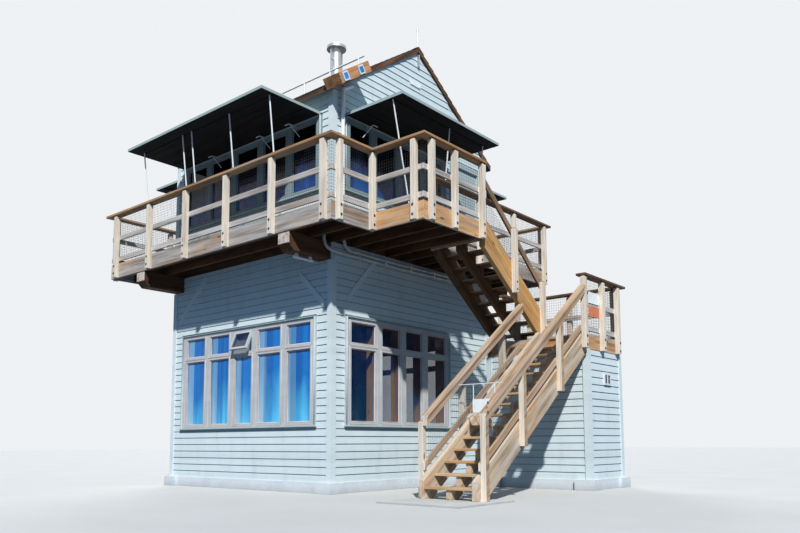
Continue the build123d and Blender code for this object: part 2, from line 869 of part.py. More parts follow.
def flue():
    """A metal flue on the left slope under a conical cap, and the bar frame that steadies it."""
    x, y = flue_place
    base = ridge_under - abs(x) * slope
    height = flue_height + flue_radius
    band = base + height
    pipe = Pos(x, y, base + height / 2) * Cylinder(flue_radius, height)
    pipe += Pos(x, y, band) * Cylinder(flue_cap_radius, flue_band_height)
    pipe += Pos(x, y, band + (flue_band_height + flue_cap_height) / 2) * Cone(
        flue_cap_radius, flue_radius / 3, flue_cap_height)
    bars = []
    for side in (-1, 1):
        bar_x = x + side * flue_frame_reach
        bars.append(block((bar_x - flue_frame_bar / 2, bar_x + flue_frame_bar / 2),
                          (y - flue_frame_bar / 2, y + flue_frame_bar / 2),
                          (base, base + height - flue_band_height)))
    for share in (1, 2):
        level = base + height - flue_band_height - share * flue_frame_height / 2
        bars.append(block((x - flue_frame_reach, x + flue_frame_reach),
                          (y - flue_frame_bar / 2, y + flue_frame_bar / 2),
                          (level, level + flue_frame_bar)))
    return above_roof(fuse([pipe] + bars))


def mast():
    """A rod that stands on the ridge over the front gable, and its bracket under the peak."""
    ridge_top = ridge_under + roof_thickness / math.cos(math.radians(roof_pitch))
    bar = rod((0, -half, ridge_under), (0, -half, ridge_top + mast_height), mast_radius)
    bar = (bar - roof_slope("left") - roof_slope("right")).solids().sort_by(Axis.Z)[-1]
    high = ridge_under - mast_bracket_drop
    bracket = block((-mast_radius, mast_radius), (-wall_face - mast_bracket_reach, -wall_face),
                    (high - mast_bracket_height, high))
    return [bar, bracket]


def snow_rail():
    """A pipe along the left slope near the eave, on round feet."""
    x = snow_rail_x - half
    vertical = roof_thickness / math.cos(math.radians(roof_pitch))
    z = ridge_under + x * slope + vertical + snow_rail_lift
    start, end = [y - half for y in snow_rail_ends]
    rail = rod((x, start, z), (x, end, z), snow_rail_radius)
    for place in snow_rail_feet:
        y = place - half
        rail += rod((x, y, z - snow_rail_lift - vertical / 2), (x, y, z), snow_rail_radius)
    return above_roof(rail)


def service_conduit():
    """A pipe up the cab's corner that turns across and into the gable."""
    x = conduit_x - half
    y = -half - conduit_offset
    across = x + conduit_run
    high = conduit_top + conduit_rise
    return bent_rod([(x, y, deck_top), (x, y, conduit_top), (across, y, high), (across, -wall_face, high)],
                    conduit_radius)


def slope_frame(along, up):
    """A point on the front view, from the eave's lower corner, along the left slope and square to it."""
    eave_x = -half - eave_overhang
    angle = math.radians(roof_pitch)
    x = eave_x + along * math.cos(angle) - up * math.sin(angle)
    z = ridge_under + eave_x * slope + along * math.sin(angle) + up * math.cos(angle)
    return x, z


def slope_block(along, up, y):
    corners = [(along[0], up[0]), (along[1], up[0]), (along[1], up[1]), (along[0], up[1])]
    return extrude_profile([slope_frame(*corner) for corner in corners], *y, "XZ")


def rake_box():
    """A boxed board that stands out from the lower end of the left rake."""
    back = -half - rake_overhang
    front = back - rake_box_reach
    box = slope_block((0, rake_box_length), (0, rake_box_depth), (front, back))
    hollow = slope_block((rake_box_board, rake_box_length - rake_box_board),
                         (-1, rake_box_depth - rake_box_board), (front + rake_box_board, back + 1))
    return box - hollow


def rake_lights():
    """Two small framed lights on the face of the rake box."""
    front = -half - rake_overhang - rake_box_reach
    size = rake_light_size
    low = (rake_box_depth - size) / 2
    return [slope_block((place - size / 2, place + size / 2), (low, low + size),
                        (front - casing_proud, front)) for place in rake_light_places]


# Lamp under the near beam's end, and the bare boards that carry signs
def wall_lamp():
    y = -half + beam_inset + beam_width / 2
    start, end = [x - half for x in lamp_ends]
    z = beam_bottom - lamp_drop
    lamp = rod((start, y, z), (end, y, z), lamp_radius)
    for x in (start + lamp_drop, end - lamp_drop):
        lamp += block((x - lamp_radius, x + lamp_radius), (y - lamp_radius, y + lamp_radius), (z, beam_bottom))
    return lamp


def sign_boards():
    """A board hung across the stair, two on the landing's guard and a plaque on the gable."""
    x = stair_sign_x - half
    rod_z = lower_line(x) + sign_rod_rise
    middle = (outer_y + inner_y) / 2
    hung = rod((x, outer_y, rod_z), (x, inner_y, rod_z), sign_rod_radius)
    hung += block((x - sign_thickness / 2, x + sign_thickness / 2),
                  (middle - stair_sign_width / 2, middle + stair_sign_width / 2),
                  (stair_sign_top - stair_sign_height, stair_sign_top))
    for side in (-1, 1):
        y = middle + side * (stair_sign_width / 2 - sign_thickness)
        hung += rod((x, y, stair_sign_top - sign_thickness), (x, y, rod_z), sign_rod_radius)
    boards = [hung]
    for ends, levels in zip(landing_sign_ends, landing_sign_levels):
        boards.append(block([end - half for end in ends], (outer_y - sign_thickness, outer_y), levels))
    boards.append(block([end - half for end in plaque_ends], (-half - sign_thickness, -wall_face),
                        plaque_levels))
    return boards


save("foundation", [foundation(), annex_foundation()])
save("stair_pad", [stair_pad()])
save("ground_floor", [ground_floor()])
save("deck_beams", deck_beams())
lower_panes = []
cab_panes = []
lower_frames = []
cab_frames = []
for wall_side in ("left", "front", "right", "back"):
    save(f"lower_{wall_side}_wall", [lower_wall(wall_side)])
    save(f"cab_{wall_side}_wall", [cab_wall(wall_side)])
    open_light = awning_light if wall_side == "left" else None
    frame, panes = window_frame(lower_groups[wall_side], window_sill, window_head, transom_height, open_light)
    lower_frames.append(on_side(frame, wall_side))
    lower_panes += [on_side(pane, wall_side) for pane in panes]
    frame, panes = window_frame(cab_groups[wall_side], cab_low, cab_high, None)
    cab_frames.append(on_side(frame, wall_side))
    cab_panes += [on_side(pane, wall_side) for pane in panes]
save("lower_window_frames", lower_frames)
save("cab_window_frames", cab_frames)
save("lower_glass", lower_panes)
save("cab_glass", cab_panes)
save("cab_door", door_leaf(deck_top))
save("lower_door", [on_side(piece, "right") for piece in door_leaf(door_sill)])
tower_faces = (-wall_face, wall_face)
outer_stringer = lower_stringers()[0]
annex_corners = corner_boards(annex_x, annex_y, foundation_height, annex_top)
annex_boards = [board - outer_stringer for board in annex_corners]
save("lower_corner_boards", corner_boards(tower_faces, tower_faces, foundation_height, beam_bottom)
     + annex_boards)
save("cab_corner_boards", corner_boards(tower_faces, tower_faces, deck_top, wall_top - casing_proud))
save("wall_braces", wall_braces())
save("deck_joists", deck_joists())
save("deck_boards", [deck_boards()])
save("deck_fascia", [deck_fascia()])
for guard_name, guard_shape in catwalk_guards().items():
    save(guard_name, [guard_shape])
save("lower_stringers", lower_stringers())
save("upper_stringers", upper_stringers())
save("lower_treads", treads(lower_start, pad_height + riser, lower_risers - 1,
                            outer_y + stringer_thickness, inner_y, 1))
save("upper_treads", treads(upper_start, landing_top + riser, upper_risers - 1,
                            upper_outer_y + stringer_thickness, upper_inner_y, -1))
lower_outer_guard, lower_inner_guard = lower_guards()
save("lower_outer_guard", [lower_outer_guard])
save("lower_inner_guard", [lower_inner_guard])
save("upper_outer_guard", [upper_guard()])
save("landing_boards", [landing_boards()])
save("landing_rim", [landing_rim()])
for guard_name, guard_shape in landing_guards().items():
    save(guard_name, [guard_shape])
annex_front, annex_rear, annex_l, annex_r, vent = annex_walls()
save("annex_end_walls", [annex_front, annex_rear])
save("annex_side_walls", [annex_l, annex_r])
save("annex_vent", [vent])
save("roof_left", [roof_slope("left")])
save("roof_right", [roof_slope("right")])
save("gables", [gable("front"), gable("back")])
save("shutters", [shutter(name) for name in cab_groups])
save("shutter_props", shutter_props())
save("shutter_hooks", shutter_hooks())
save("flue", [flue()])
save("mast", mast())
save("snow_rail", [snow_rail()])
save("service_conduit", [service_conduit()])
save("rake_box", [rake_box()])
save("rake_lights", rake_lights())
save("wall_lamp", [wall_lamp()])
save("sign_boards", sign_boards())
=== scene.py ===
import math
import random

import bmesh
import bpy
from mathutils import Matrix, Vector


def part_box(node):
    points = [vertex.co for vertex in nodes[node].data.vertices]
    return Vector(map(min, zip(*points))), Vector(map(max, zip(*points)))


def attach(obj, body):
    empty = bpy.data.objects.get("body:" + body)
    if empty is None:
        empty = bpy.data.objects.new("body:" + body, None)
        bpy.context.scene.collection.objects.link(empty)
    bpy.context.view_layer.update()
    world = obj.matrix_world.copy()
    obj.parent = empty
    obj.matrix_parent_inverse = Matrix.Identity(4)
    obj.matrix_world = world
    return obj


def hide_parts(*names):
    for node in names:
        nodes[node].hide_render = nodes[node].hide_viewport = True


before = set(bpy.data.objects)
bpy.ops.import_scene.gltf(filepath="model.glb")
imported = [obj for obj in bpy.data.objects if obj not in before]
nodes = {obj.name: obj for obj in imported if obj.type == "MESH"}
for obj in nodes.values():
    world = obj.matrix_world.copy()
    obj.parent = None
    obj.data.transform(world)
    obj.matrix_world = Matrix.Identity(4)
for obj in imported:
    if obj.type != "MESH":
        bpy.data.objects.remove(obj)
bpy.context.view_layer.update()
scene = bpy.context.scene
scene.view_settings.view_transform = "Standard"

# Camera: it stands on the ground off the near corner of the tower, less than a metre up,
# and looks a little upwards at the two lit walls.
picture_width, picture_height, axis_x, axis_y, focal_length = 800, 533, 406.5, 365, 745.0
camera_data = bpy.data.cameras.new("view")
camera_data.sensor_width = 36
camera_data.lens = focal_length / picture_width * camera_data.sensor_width
camera_data.shift_x = (picture_width / 2 - axis_x) / picture_width
camera_data.shift_y = (axis_y - picture_height / 2) / picture_width
camera_data.clip_end = 300
heading, tilt, roll = (math.radians(angle) for angle in (-50.0, 90 + 5.94, -0.26))
camera = bpy.data.objects.new("view", camera_data)
camera.matrix_world = (Matrix.Translation((-10.875, -11.115, 0.827)) @ Matrix.Rotation(heading, 4, "Z")
                       @ Matrix.Rotation(tilt, 4, "X") @ Matrix.Rotation(roll, 4, "Z"))
scene.collection.objects.link(camera)
scene.camera = camera


# Light: a sun from high behind the camera, a weak broad lamp on the far sides, and an even pale room.
# The floor is plain and pale and keeps the tower's shadow.
def feed(tree, node, feeds):
    """A value or a link for each named socket of a node."""
    for key, value in feeds.items():
        if isinstance(value, bpy.types.NodeSocket):
            tree.links.new(value, node.inputs[key])
        else:
            node.inputs[key].default_value = value


def add(tree, kind, feeds=None, **settings):
    """A node in a tree, with its settings and what feeds its sockets."""
    node = tree.nodes.new(kind)
    for key, value in settings.items():
        setattr(node, key, value)
    feed(tree, node, feeds or {})
    return node


def figured(tree, operation, *values):
    """One step of arithmetic."""
    return add(tree, "ShaderNodeMath", dict(enumerate(values)), operation=operation).outputs[0]


for lamp_name, energy, spread, colour, way in (
        ("sun", 4.8, 1.6, (1.0, 0.985, 0.955), (0.855, 0.815, -1.0)),
        ("back_lamp", 1.3, 30, (1.0, 0.99, 0.97), (-0.72, -0.8, -0.6))):
    lamp_data = bpy.data.lights.new(lamp_name, "SUN")
    lamp_data.energy = energy
    lamp_data.angle = math.radians(spread)
    lamp_data.color = colour
    lamp = bpy.data.objects.new(lamp_name, lamp_data)
    lamp.rotation_euler = Vector(way).to_track_quat("-Z", "Y").to_euler()
    scene.collection.objects.link(lamp)


def shown(tree):
    """One for rays that show the room itself, straight or in metal and glass, and nought for its light."""
    rays = add(tree, "ShaderNodeLightPath").outputs
    seen = figured(tree, "MAXIMUM", rays["Is Camera Ray"], rays["Is Transmission Ray"])
    return figured(tree, "MAXIMUM", seen, rays["Is Glossy Ray"])


world = bpy.data.worlds.new("room")
world.use_nodes = True
scene.world = world
room = world.node_tree
room.nodes.clear()
fill = add(room, "ShaderNodeBackground", {"Color": (0.22, 0.54, 1.0, 1), "Strength": 0.32})
backdrop = add(room, "ShaderNodeBackground", {"Color": (0.86, 0.88, 0.9, 1), "Strength": 1.0})
both = add(room, "ShaderNodeMixShader", {0: shown(room), 1: fill.outputs[0], 2: backdrop.outputs[0]})
add(room, "ShaderNodeOutputWorld", {"Surface": both.outputs[0]})


def new_finish(name):
    """A new material and its tree."""
    made = bpy.data.materials.new(name)
    made.use_nodes = True
    return made, made.node_tree


def place_in(tree):
    return add(tree, "ShaderNodeTexCoord").outputs["Object"]


def noise_of(tree, vector, scale, detail=5.0, rough=0.55):
    return add(tree, "ShaderNodeTexNoise", {"Vector": vector, "Scale": scale, "Detail": detail,
                                            "Roughness": rough}).outputs["Fac"]


def stretched(tree, vector, scale, offset=(0, 0, 0)):
    return add(tree, "ShaderNodeMapping", {"Vector": vector, "Scale": scale, "Location": offset}).outputs[0]


def ramp_of(tree, value, *stops):
    """A ramp through stops, each a place and a colour or a grey."""
    ramp = add(tree, "ShaderNodeValToRGB", {"Fac": value})
    points = ramp.color_ramp.elements
    while len(points) < len(stops):
        points.new(0.5)
    for point, (place, colour) in zip(points, stops):
        point.position = place
        point.color = (*colour, 1) if isinstance(colour, tuple) else (colour, colour, colour, 1)
    return ramp.outputs["Color"]


def mixed(tree, amount, low, high, blend="MIX"):
    return add(tree, "ShaderNodeMixRGB", {"Fac": amount, "Color1": low, "Color2": high},
               blend_type=blend).outputs[0]


def times(tree, low, high):
    return mixed(tree, 1.0, low, high, "MULTIPLY")


def coated(made, colour, rough, shine=0.5, relief=None, **others):
    """The finish with its surface fed, and with a relief of (height, strength, depth)."""
    tree = made.node_tree
    shader = tree.nodes["Principled BSDF"]
    feed(tree, shader, {"Base Color": colour, "Roughness": rough, "Specular IOR Level": shine, **others})
    if relief:
        height, strength, depth = relief
        bump = add(tree, "ShaderNodeBump", {"Height": height, "Strength": strength, "Distance": depth})
        tree.links.new(bump.outputs[0], shader.inputs["Normal"])
    return made


floor_paint, tree = new_finish("floor_paint")
pale = ramp_of(tree, noise_of(tree, place_in(tree), 0.7), (0.3, (0.54, 0.535, 0.52)),
               (0.7, (0.58, 0.575, 0.56)))
coated(floor_paint, mixed(tree, shown(tree), (0.05, 0.08, 0.12, 1), pale), 0.9)
floor_reach, floor_level = 90, -0.002
floor_mesh = bpy.data.meshes.new("floor")
floor_mesh.from_pydata([(x * floor_reach, y * floor_reach, floor_level)
                        for x, y in ((-1, -1), (1, -1), (1, 1), (-1, 1))], [], [(0, 1, 2, 3)])
floor_mesh.materials.append(floor_paint)
floor = bpy.data.objects.new("floor", floor_mesh)
scene.collection.objects.link(floor)


# Foundation, ground slab and stair pad: cast concrete, limewashed nearly white on the plinth,
# trowelled flat and left grey on the pad and inside.
def dress(names, finish):
    """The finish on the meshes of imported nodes."""
    for name in names:
        for slot in nodes[name].material_slots:
            slot.material = finish


def part_of(tree, vector, axis):
    return add(tree, "ShaderNodeSeparateXYZ", {0: vector}).outputs[axis]


def share_of(tree, value, low, high):
    """Nought at low and one at high."""
    return add(tree, "ShaderNodeMapRange", {"Value": value, "From Min": low, "From Max": high}).outputs[0]


def cast(name, pale, dark):
    """Concrete with clouds, grit, and splashes near the ground."""
    made, tree = new_finish(name)
    place = place_in(tree)
    cloud, grit = noise_of(tree, place, 2.2, 6), noise_of(tree, place, 90, 3, 0.7)
    splash = ramp_of(tree, share_of(tree, part_of(tree, place, "Z"), 0.0, 0.12),
                     (0.0, (0.8, 0.79, 0.77)), (1.0, 1.0))
    colour = times(tree, ramp_of(tree, cloud, (0.3, dark), (0.62, pale)),
                   ramp_of(tree, grit, (0.36, 0.72), (0.5, 1.0)))
    return coated(made, times(tree, colour, splash), ramp_of(tree, cloud, (0.3, 0.75), (0.7, 0.92)), 0.15,
                  (grit, 0.25, 0.004))


dress(["foundation"], cast("limewashed_concrete", (0.73, 0.78, 0.81), (0.64, 0.68, 0.71)))
dress(["stair_pad", "ground_floor"], cast("bare_concrete", (0.7, 0.72, 0.72), (0.58, 0.6, 0.6)))

# Walls: timber frame walls under bevelled clapboards, 127 mm to the weather, painted a pale mint grey.
# Each board is nailed along its lower edge, thick at the butt and thin where the next one laps it.
exposure = 0.127
chance = random.Random(4)


def painted(name, colour, wear=0.5, run=(1.6, 1.6, 0.5)):
    """Brushed paint on sawn boards: grain under the film, faint streaks, and painted shade close under each
    lap.
    """
    made, tree = new_finish(name)
    place = place_in(tree)
    grain = noise_of(tree, stretched(tree, place, (3.0, 3.0, 70.0)), 1.6, 6, 0.6)
    streak = noise_of(tree, stretched(tree, place, run), 3.0, 5)
    course = figured(tree, "FLOOR", figured(tree, "DIVIDE", part_of(tree, place, "Z"), exposure))
    tone = add(tree, "ShaderNodeTexWhiteNoise", {"W": course}, noise_dimensions="1D").outputs["Value"]
    painted_lap_shade = add(tree, "ShaderNodeAttribute", attribute_name="lift").outputs["Fac"]
    dark, light = (tuple(min(1.0, part * by) for part in colour) for by in (0.87, 1.05))
    patch = ramp_of(tree, noise_of(tree, place, 0.8, 3), (0.35, dark), (0.65, light))
    base = ramp_of(tree, streak, (0.25, dark), (0.45, colour), (0.75, light))
    base = times(tree, mixed(tree, wear * 0.5, base, patch), ramp_of(tree, tone, (0.0, 0.93), (1.0, 1.0)))
    # painted shade: the top of each board, just under the next board's butt, is darkened
    base = times(tree, base, ramp_of(tree, painted_lap_shade, (0.86, 1.0), (0.94, 0.42)))
    fibre = times(tree, base, ramp_of(tree, grain, (0.34, 0.88), (0.5, 1.0)))
    return coated(made, mixed(tree, 0.6, base, fibre), ramp_of(tree, streak, (0.3, 0.52), (0.7, 0.7)), 0.15,
                  (grain, 0.18, 0.002))


def new_tree(name, **inputs):
    """An empty geometry tree with the named inputs and a finish."""
    tree = bpy.data.node_groups.new(name, "GeometryNodeTree")
    for label, kind in {"Geometry": "Geometry", **inputs, "Finish": "Material"}.items():
        tree.interface.new_socket(label, in_out="INPUT", socket_type="NodeSocket" + kind)
    tree.interface.new_socket("Geometry", in_out="OUTPUT", socket_type="NodeSocketGeometry")
    return tree, add(tree, "NodeGroupInput").outputs, add(tree, "NodeGroupOutput")


def close_tree(tree, given, end, geometry):
    """The last steps of every tree: plain geometry, then its finish."""
    real = add(tree, "GeometryNodeRealizeInstances", {"Geometry": geometry})
    skin = add(tree, "GeometryNodeSetMaterial", {"Geometry": real.outputs[0], "Material": given["Finish"]})
    tree.links.new(skin.outputs[0], end.inputs[0])


def piece_of(name, data, finishes):
    """A finished mesh that rides on the tower."""
    for finish in finishes:
        data.materials.append(finish)
    piece = bpy.data.objects.new(name, data)
    scene.collection.objects.link(piece)
    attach(piece, "root")
    return piece


def plain_mesh(rough):
    """The mesh that an object's modifiers make of it. The object itself goes."""
    made = rough.evaluated_get(bpy.context.evaluated_depsgraph_get())
    data = bpy.data.meshes.new_from_object(made)
    bpy.data.objects.remove(rough)
    return data


def grow(name, source, tree, slot, **values):
    """The plain piece that a tree makes of a source mesh."""
    seed = bpy.data.objects.new(name + "_seed", source)
    scene.collection.objects.link(seed)
    step = seed.modifiers.new("grow", "NODES")
    step.node_group = tree
    for item in tree.interface.items_tree:
        if item.in_out == "INPUT" and item.name.lower() in values:
            step[item.identifier] = values[item.name.lower()]
    data = plain_mesh(seed)
    data.materials.clear()
    data.polygons.foreach_set("material_index", [0] * len(data.polygons))
    return piece_of(name, data, [values["finish"]])


lapped, given, end = new_tree("lapped_boards", Butt="Float", Tip="Float")
kept = add(lapped, "GeometryNodeCaptureAttribute", domain="FACE")
kept.capture_items.new("VECTOR", "out")
out = add(lapped, "GeometryNodeInputNormal").outputs[0]
feed(lapped, kept, {"Geometry": given["Geometry"], "out": out})
thick = add(lapped, "GeometryNodeExtrudeMesh", {
    "Mesh": kept.outputs["Geometry"], "Offset": kept.outputs["out"], "Offset Scale": given["Butt"],
    "Individual": True})
lift = add(lapped, "GeometryNodeInputNamedAttribute", {"Name": "lift"}, data_type="FLOAT")
shift = figured(lapped, "MULTIPLY", figured(lapped, "SUBTRACT", given["Tip"], given["Butt"]),
                lift.outputs["Attribute"])
move = add(lapped, "ShaderNodeVectorMath", {0: kept.outputs["out"], "Scale": shift}, operation="SCALE")
wedge = add(lapped, "GeometryNodeSetPosition", {
    "Geometry": thick.outputs["Mesh"], "Selection": thick.outputs["Top"], "Offset": move.outputs[0]})
back = add(lapped, "GeometryNodeFlipFaces", {"Mesh": given["Geometry"]})
joined = add(lapped, "GeometryNodeJoinGeometry", {0: wedge.outputs[0]})
feed(lapped, joined, {0: back.outputs[0]})
welded = add(lapped, "GeometryNodeMergeByDistance", {"Geometry": joined.outputs[0], "Distance": 0.0002})
close_tree(lapped, given, end, welded.outputs[0])


def boarded(name, faces, slot, butt, tip, finish):
    """Boards grown on separate faces, each a list of four (point, lift) corners."""
    corners = [corner for face in faces for corner in face]
    mesh = bpy.data.meshes.new(name)
    mesh.from_pydata([point for point, lift in corners], [],
                     [tuple(range(first, first + 4)) for first in range(0, len(corners), 4)])
    mesh.attributes.new("lift", "FLOAT", "POINT").data.foreach_set("value", [lift for point, lift in corners])
    return grow(name, mesh, lapped, slot, butt=butt, tip=tip, finish=finish)


def courses(span, levels, base, openings):
    """Boards of a wall as (left, right, low, high, lift low, lift high), cut round its openings."""
    boards, joint = [], 0.0006
    for index in range(math.floor((levels[0] - base) / exposure), math.ceil((levels[1] - base) / exposure)):
        start = base + index * exposure
        low, high = max(start, levels[0]), min(start + exposure, levels[1])
        if high - low < 0.004:
            continue
        breaks = {span[0], span[1]}
        for left, right, bottom, top in openings:
            if bottom < high and top > low:
                breaks |= {left, right}
        place = span[0] + chance.uniform(0.8, 3.6)
        while place < span[1] - 0.5:
            breaks.add(place)
            place += chance.uniform(2.2, 4.2)
        edges = sorted(edge for edge in breaks if span[0] <= edge <= span[1])
        for left, right in zip(edges, edges[1:]):
            free = [(low, high)]
            for a, b, bottom, top in openings:
                if a < (left + right) / 2 < b:
                    free = [part for z0, z1 in free for part in ((z0, min(z1, bottom)), (max(z0, top), z1))
                            if part[1] - part[0] > 0.003]
            boards += [(left + joint, right - joint, z0, z1, (z0 - start) / exposure, (z1 - start) / exposure)
                       for z0, z1 in free]
    return boards


def on_wall(boards, origin, along, reach_at=None):
    """The faces of the boards on a wall that starts at a point and runs along a direction."""
    faces = []
    for left, right, z0, z1, lift0, lift1 in boards:
        ends = [(left, right), (left, right)]
        if reach_at:
            ends = [(max(left, -reach_at(z)), min(right, reach_at(z))) for z in (z0, z1)]
            if ends[0][1] - ends[0][0] < 0.02 or ends[1][1] - ends[1][0] < 0.001:
                continue
        faces.append([((origin[0] + along[0] * u, origin[1] + along[1] * u, z), lift) for u, z, lift in
                      ((ends[0][0], z0, lift0), (ends[0][1], z0, lift0), (ends[1][1], z1, lift1),
                       (ends[1][0], z1, lift1))])
    return faces


wall = 2.297
tower_sides = {"front": ((0, -wall), (1, 0)), "left": ((-wall, 0), (0, -1)),
               "right": ((wall, 0), (0, 1)), "back": ((0, wall), (-1, 0))}
roof_angle = math.radians(34.6)
roof_rise = math.tan(roof_angle)
gable_foot, gable_head = 6.89, 8.47
wide_row, short_row = (-1.935, 1.935, 1.1, 2.97), (-1.975, 0.915, 1.1, 2.97)
low_holes = {"front": [short_row], "left": [wide_row], "right": [short_row, (1.04, 2.06, 0.1, 2.27)],
             "back": [wide_row]}
cab_row = (-2.04, 2.04, 5.15, 6.48)
cab_holes = {"front": [(-2.02, 0.84, 5.15, 6.48), (1.04, 2.06, 4.4, 6.57)], "left": [cab_row],
             "right": [cab_row], "back": [cab_row]}
siding_faces = []
for side, (origin, along) in tower_sides.items():
    gabled = side in ("front", "back")
    siding_faces += on_wall(courses((-2.26, 2.26), (0.178, 4.187), 0.178, low_holes[side]), origin, along)
    siding_faces += on_wall(courses((-2.26, 2.26), (4.487, gable_foot if gabled else 6.93), 4.485,
                                    cab_holes[side]), origin, along)
    if gabled:
        siding_faces += on_wall(courses((-2.29, 2.29), (gable_foot, 8.44), 4.485, []), origin, along,
                                lambda z: (gable_head - z) / roof_rise)
for origin, along, reach, holes in (
        ((1.624, -5.264), (1, 0), 0.614, [(-0.055, 0.191, 1.845, 2.035)]),
        ((0.975, -4.2435), (0, -1), 0.985, []), ((2.273, -4.2435), (0, 1), 0.985, []),
        ((1.624, -3.223), (-1, 0), 0.614, [])):
    siding_faces += on_wall(courses((-reach, reach), (0.178, 2.431), 0.178, holes), origin, along)
mint = painted("mint_siding_paint", (0.605, 0.7, 0.725))
boarded("clapboards", siding_faces, "siding", 0.018, 0.004, mint)
dress([f"{room_name}_{side}_wall" for room_name in ("lower", "cab") for side in tower_sides], mint)
dress(["gables", "annex_end_walls", "annex_side_walls"], mint)

# Corner boards and braces: flat painted boards that stand a little proud of the clapboards,
# nailed up the corners of both storeys and let in as raking braces under the catwalk.
trim_paint = painted("mint_trim_paint", (0.645, 0.735, 0.755), 0.4, (1.2, 1.2, 0.3))
dress(["lower_corner_boards", "cab_corner_boards", "wall_braces"], trim_paint)


# Windows: painted timber frames, grey with pinkish beads, and grey-green casings round them.
# Each light has a glazing bead against the glass and a shadow line round its sash.
def lights_of(start, reach, shares):
    """The (left, right) of each light in a row of windows."""
    places, total = [start], sum(shares)
    for share in shares:
        places.append(places[-1] + reach * share / total)
    return list(zip(places, places[1:]))


def swept_tree(name, section_kind, section_feeds, **inputs):
    """A tree that sweeps a section along every line of edges."""
    tree, given, end = new_tree(name, **inputs)
    line = add(tree, "GeometryNodeMeshToCurve", {"Mesh": given["Geometry"]})
    section = add(tree, section_kind, {socket: given[label] for socket, label in section_feeds.items()})
    strip = add(tree, "GeometryNodeCurveToMesh", {
        "Curve": line.outputs[0], "Profile Curve": section.outputs[0], "Fill Caps": True})
    close_tree(tree, given, end, strip.outputs[0])
    return tree


def loop_mesh(name, loops, closed=True):
    """A mesh of edges that follow each list of points."""
    points, edges = [], []
    for loop in loops:
        first = len(points)
        points += loop
        edges += [(first + index, first + index + 1) for index in range(len(loop) - 1)]
        if closed:
            edges.append((first + len(loop) - 1, first))
    mesh = bpy.data.meshes.new(name)
    mesh.from_pydata(points, edges, [])
    return mesh


def turned(side, x, y, z):
    """A point drawn on the front, turned to its own side of the tower."""
    along = tower_sides[side][1]
    return (along[0] * x - along[1] * y, along[1] * x + along[0] * y, z)


def ring(side, left, right, low, high, reach):
    """The corners of a rectangle on a side, that far from the tower's middle."""
    return [turned(side, u, -reach, z) for u, z in ((left, low), (right, low), (right, high), (left, high))]


stile, rail = 0.088, 0.046


def is_awning(side, left, high):
    """Whether a light is the one that stands open."""
    return side == "left" and 2.9 < high < 3 and abs(left + 0.353) < 0.02


def pane_loops(rows, levels, reach, spread):
    """A loop round every light of the four walls."""
    return [ring(side, left + stile - spread, right - stile + spread, low + rail - spread,
                 high - rail + spread, reach)
            for side, lights in rows.items() for left, right in lights for low, high in levels
            if not is_awning(side, left, high)]


side_lights = lights_of(-1.9, 3.8, (776, 772, 678, 797, 779))
front_lights = lights_of(-1.942, 2.824, (790, 655, 645, 735))
lower_rows = {"left": side_lights, "back": side_lights, "front": front_lights, "right": front_lights}
cab_sides = lights_of(-2.0, 4.0, (1, 1, 1, 1, 1))
cab_rows = {"left": cab_sides, "back": cab_sides, "right": cab_sides,
            "front": lights_of(-1.985, 2.795, (1, 1, 1, 1))}
lower_levels, cab_levels = ((1.134, 2.473), (2.473, 2.929)), ((5.185, 6.445),)
# The cab's sashes are painted dark as painted shade under the shutters; their own paint is pale mint.
sash_paint, bead_paint, cab_sash_painted_shade = (
    painted(name, colour, 0.6, (2.0, 2.0, 0.4)) for name, colour in (
        ("sash_paint", (0.48, 0.51, 0.525)), ("bead_paint", (0.66, 0.54, 0.5)),
        ("cab_sash_painted_shade", (0.23, 0.295, 0.305))))
dress(["lower_window_frames"], sash_paint)
dress(["cab_window_frames"], cab_sash_painted_shade)
swept = swept_tree("swept_strips", "GeometryNodeCurvePrimitiveQuadrilateral",
                   {"Width": "Width", "Height": "Depth"}, Width="Float", Depth="Float")
for room_name, rows, levels, finish in (("lower", lower_rows, lower_levels, bead_paint),
                                        ("cab", cab_rows, cab_levels, cab_sash_painted_shade)):
    for strip_name, reach, spread, width, depth in (("glazing_beads", 2.297, -0.008, 0.016, 0.024),
                                                    ("sash_edges", 2.327, 0.04, 0.01, 0.008)):
        grow(f"{room_name}_{strip_name}", loop_mesh(strip_name, pane_loops(rows, levels, reach, spread)),
             swept, f"{room_name}_frames", width=width, depth=depth, finish=finish)
casing_paint = painted("casing_paint", (0.4, 0.495, 0.51), 0.5, (1.0, 1.0, 0.4))
window_rows = [(side, lights, levels[0][0], levels[-1][1])
               for rows, levels in ((lower_rows, lower_levels), (cab_rows, cab_levels))
               for side, lights in rows.items()]
grow("window_casings", loop_mesh("casings", [
    ring(side, lights[0][0] - 0.03, lights[-1][1] + 0.03, low - 0.03, high + 0.03, 2.3285)
    for side, lights, low, high in window_rows]), swept, "lower_frames", width=0.06, depth=0.012,
     finish=casing_paint)
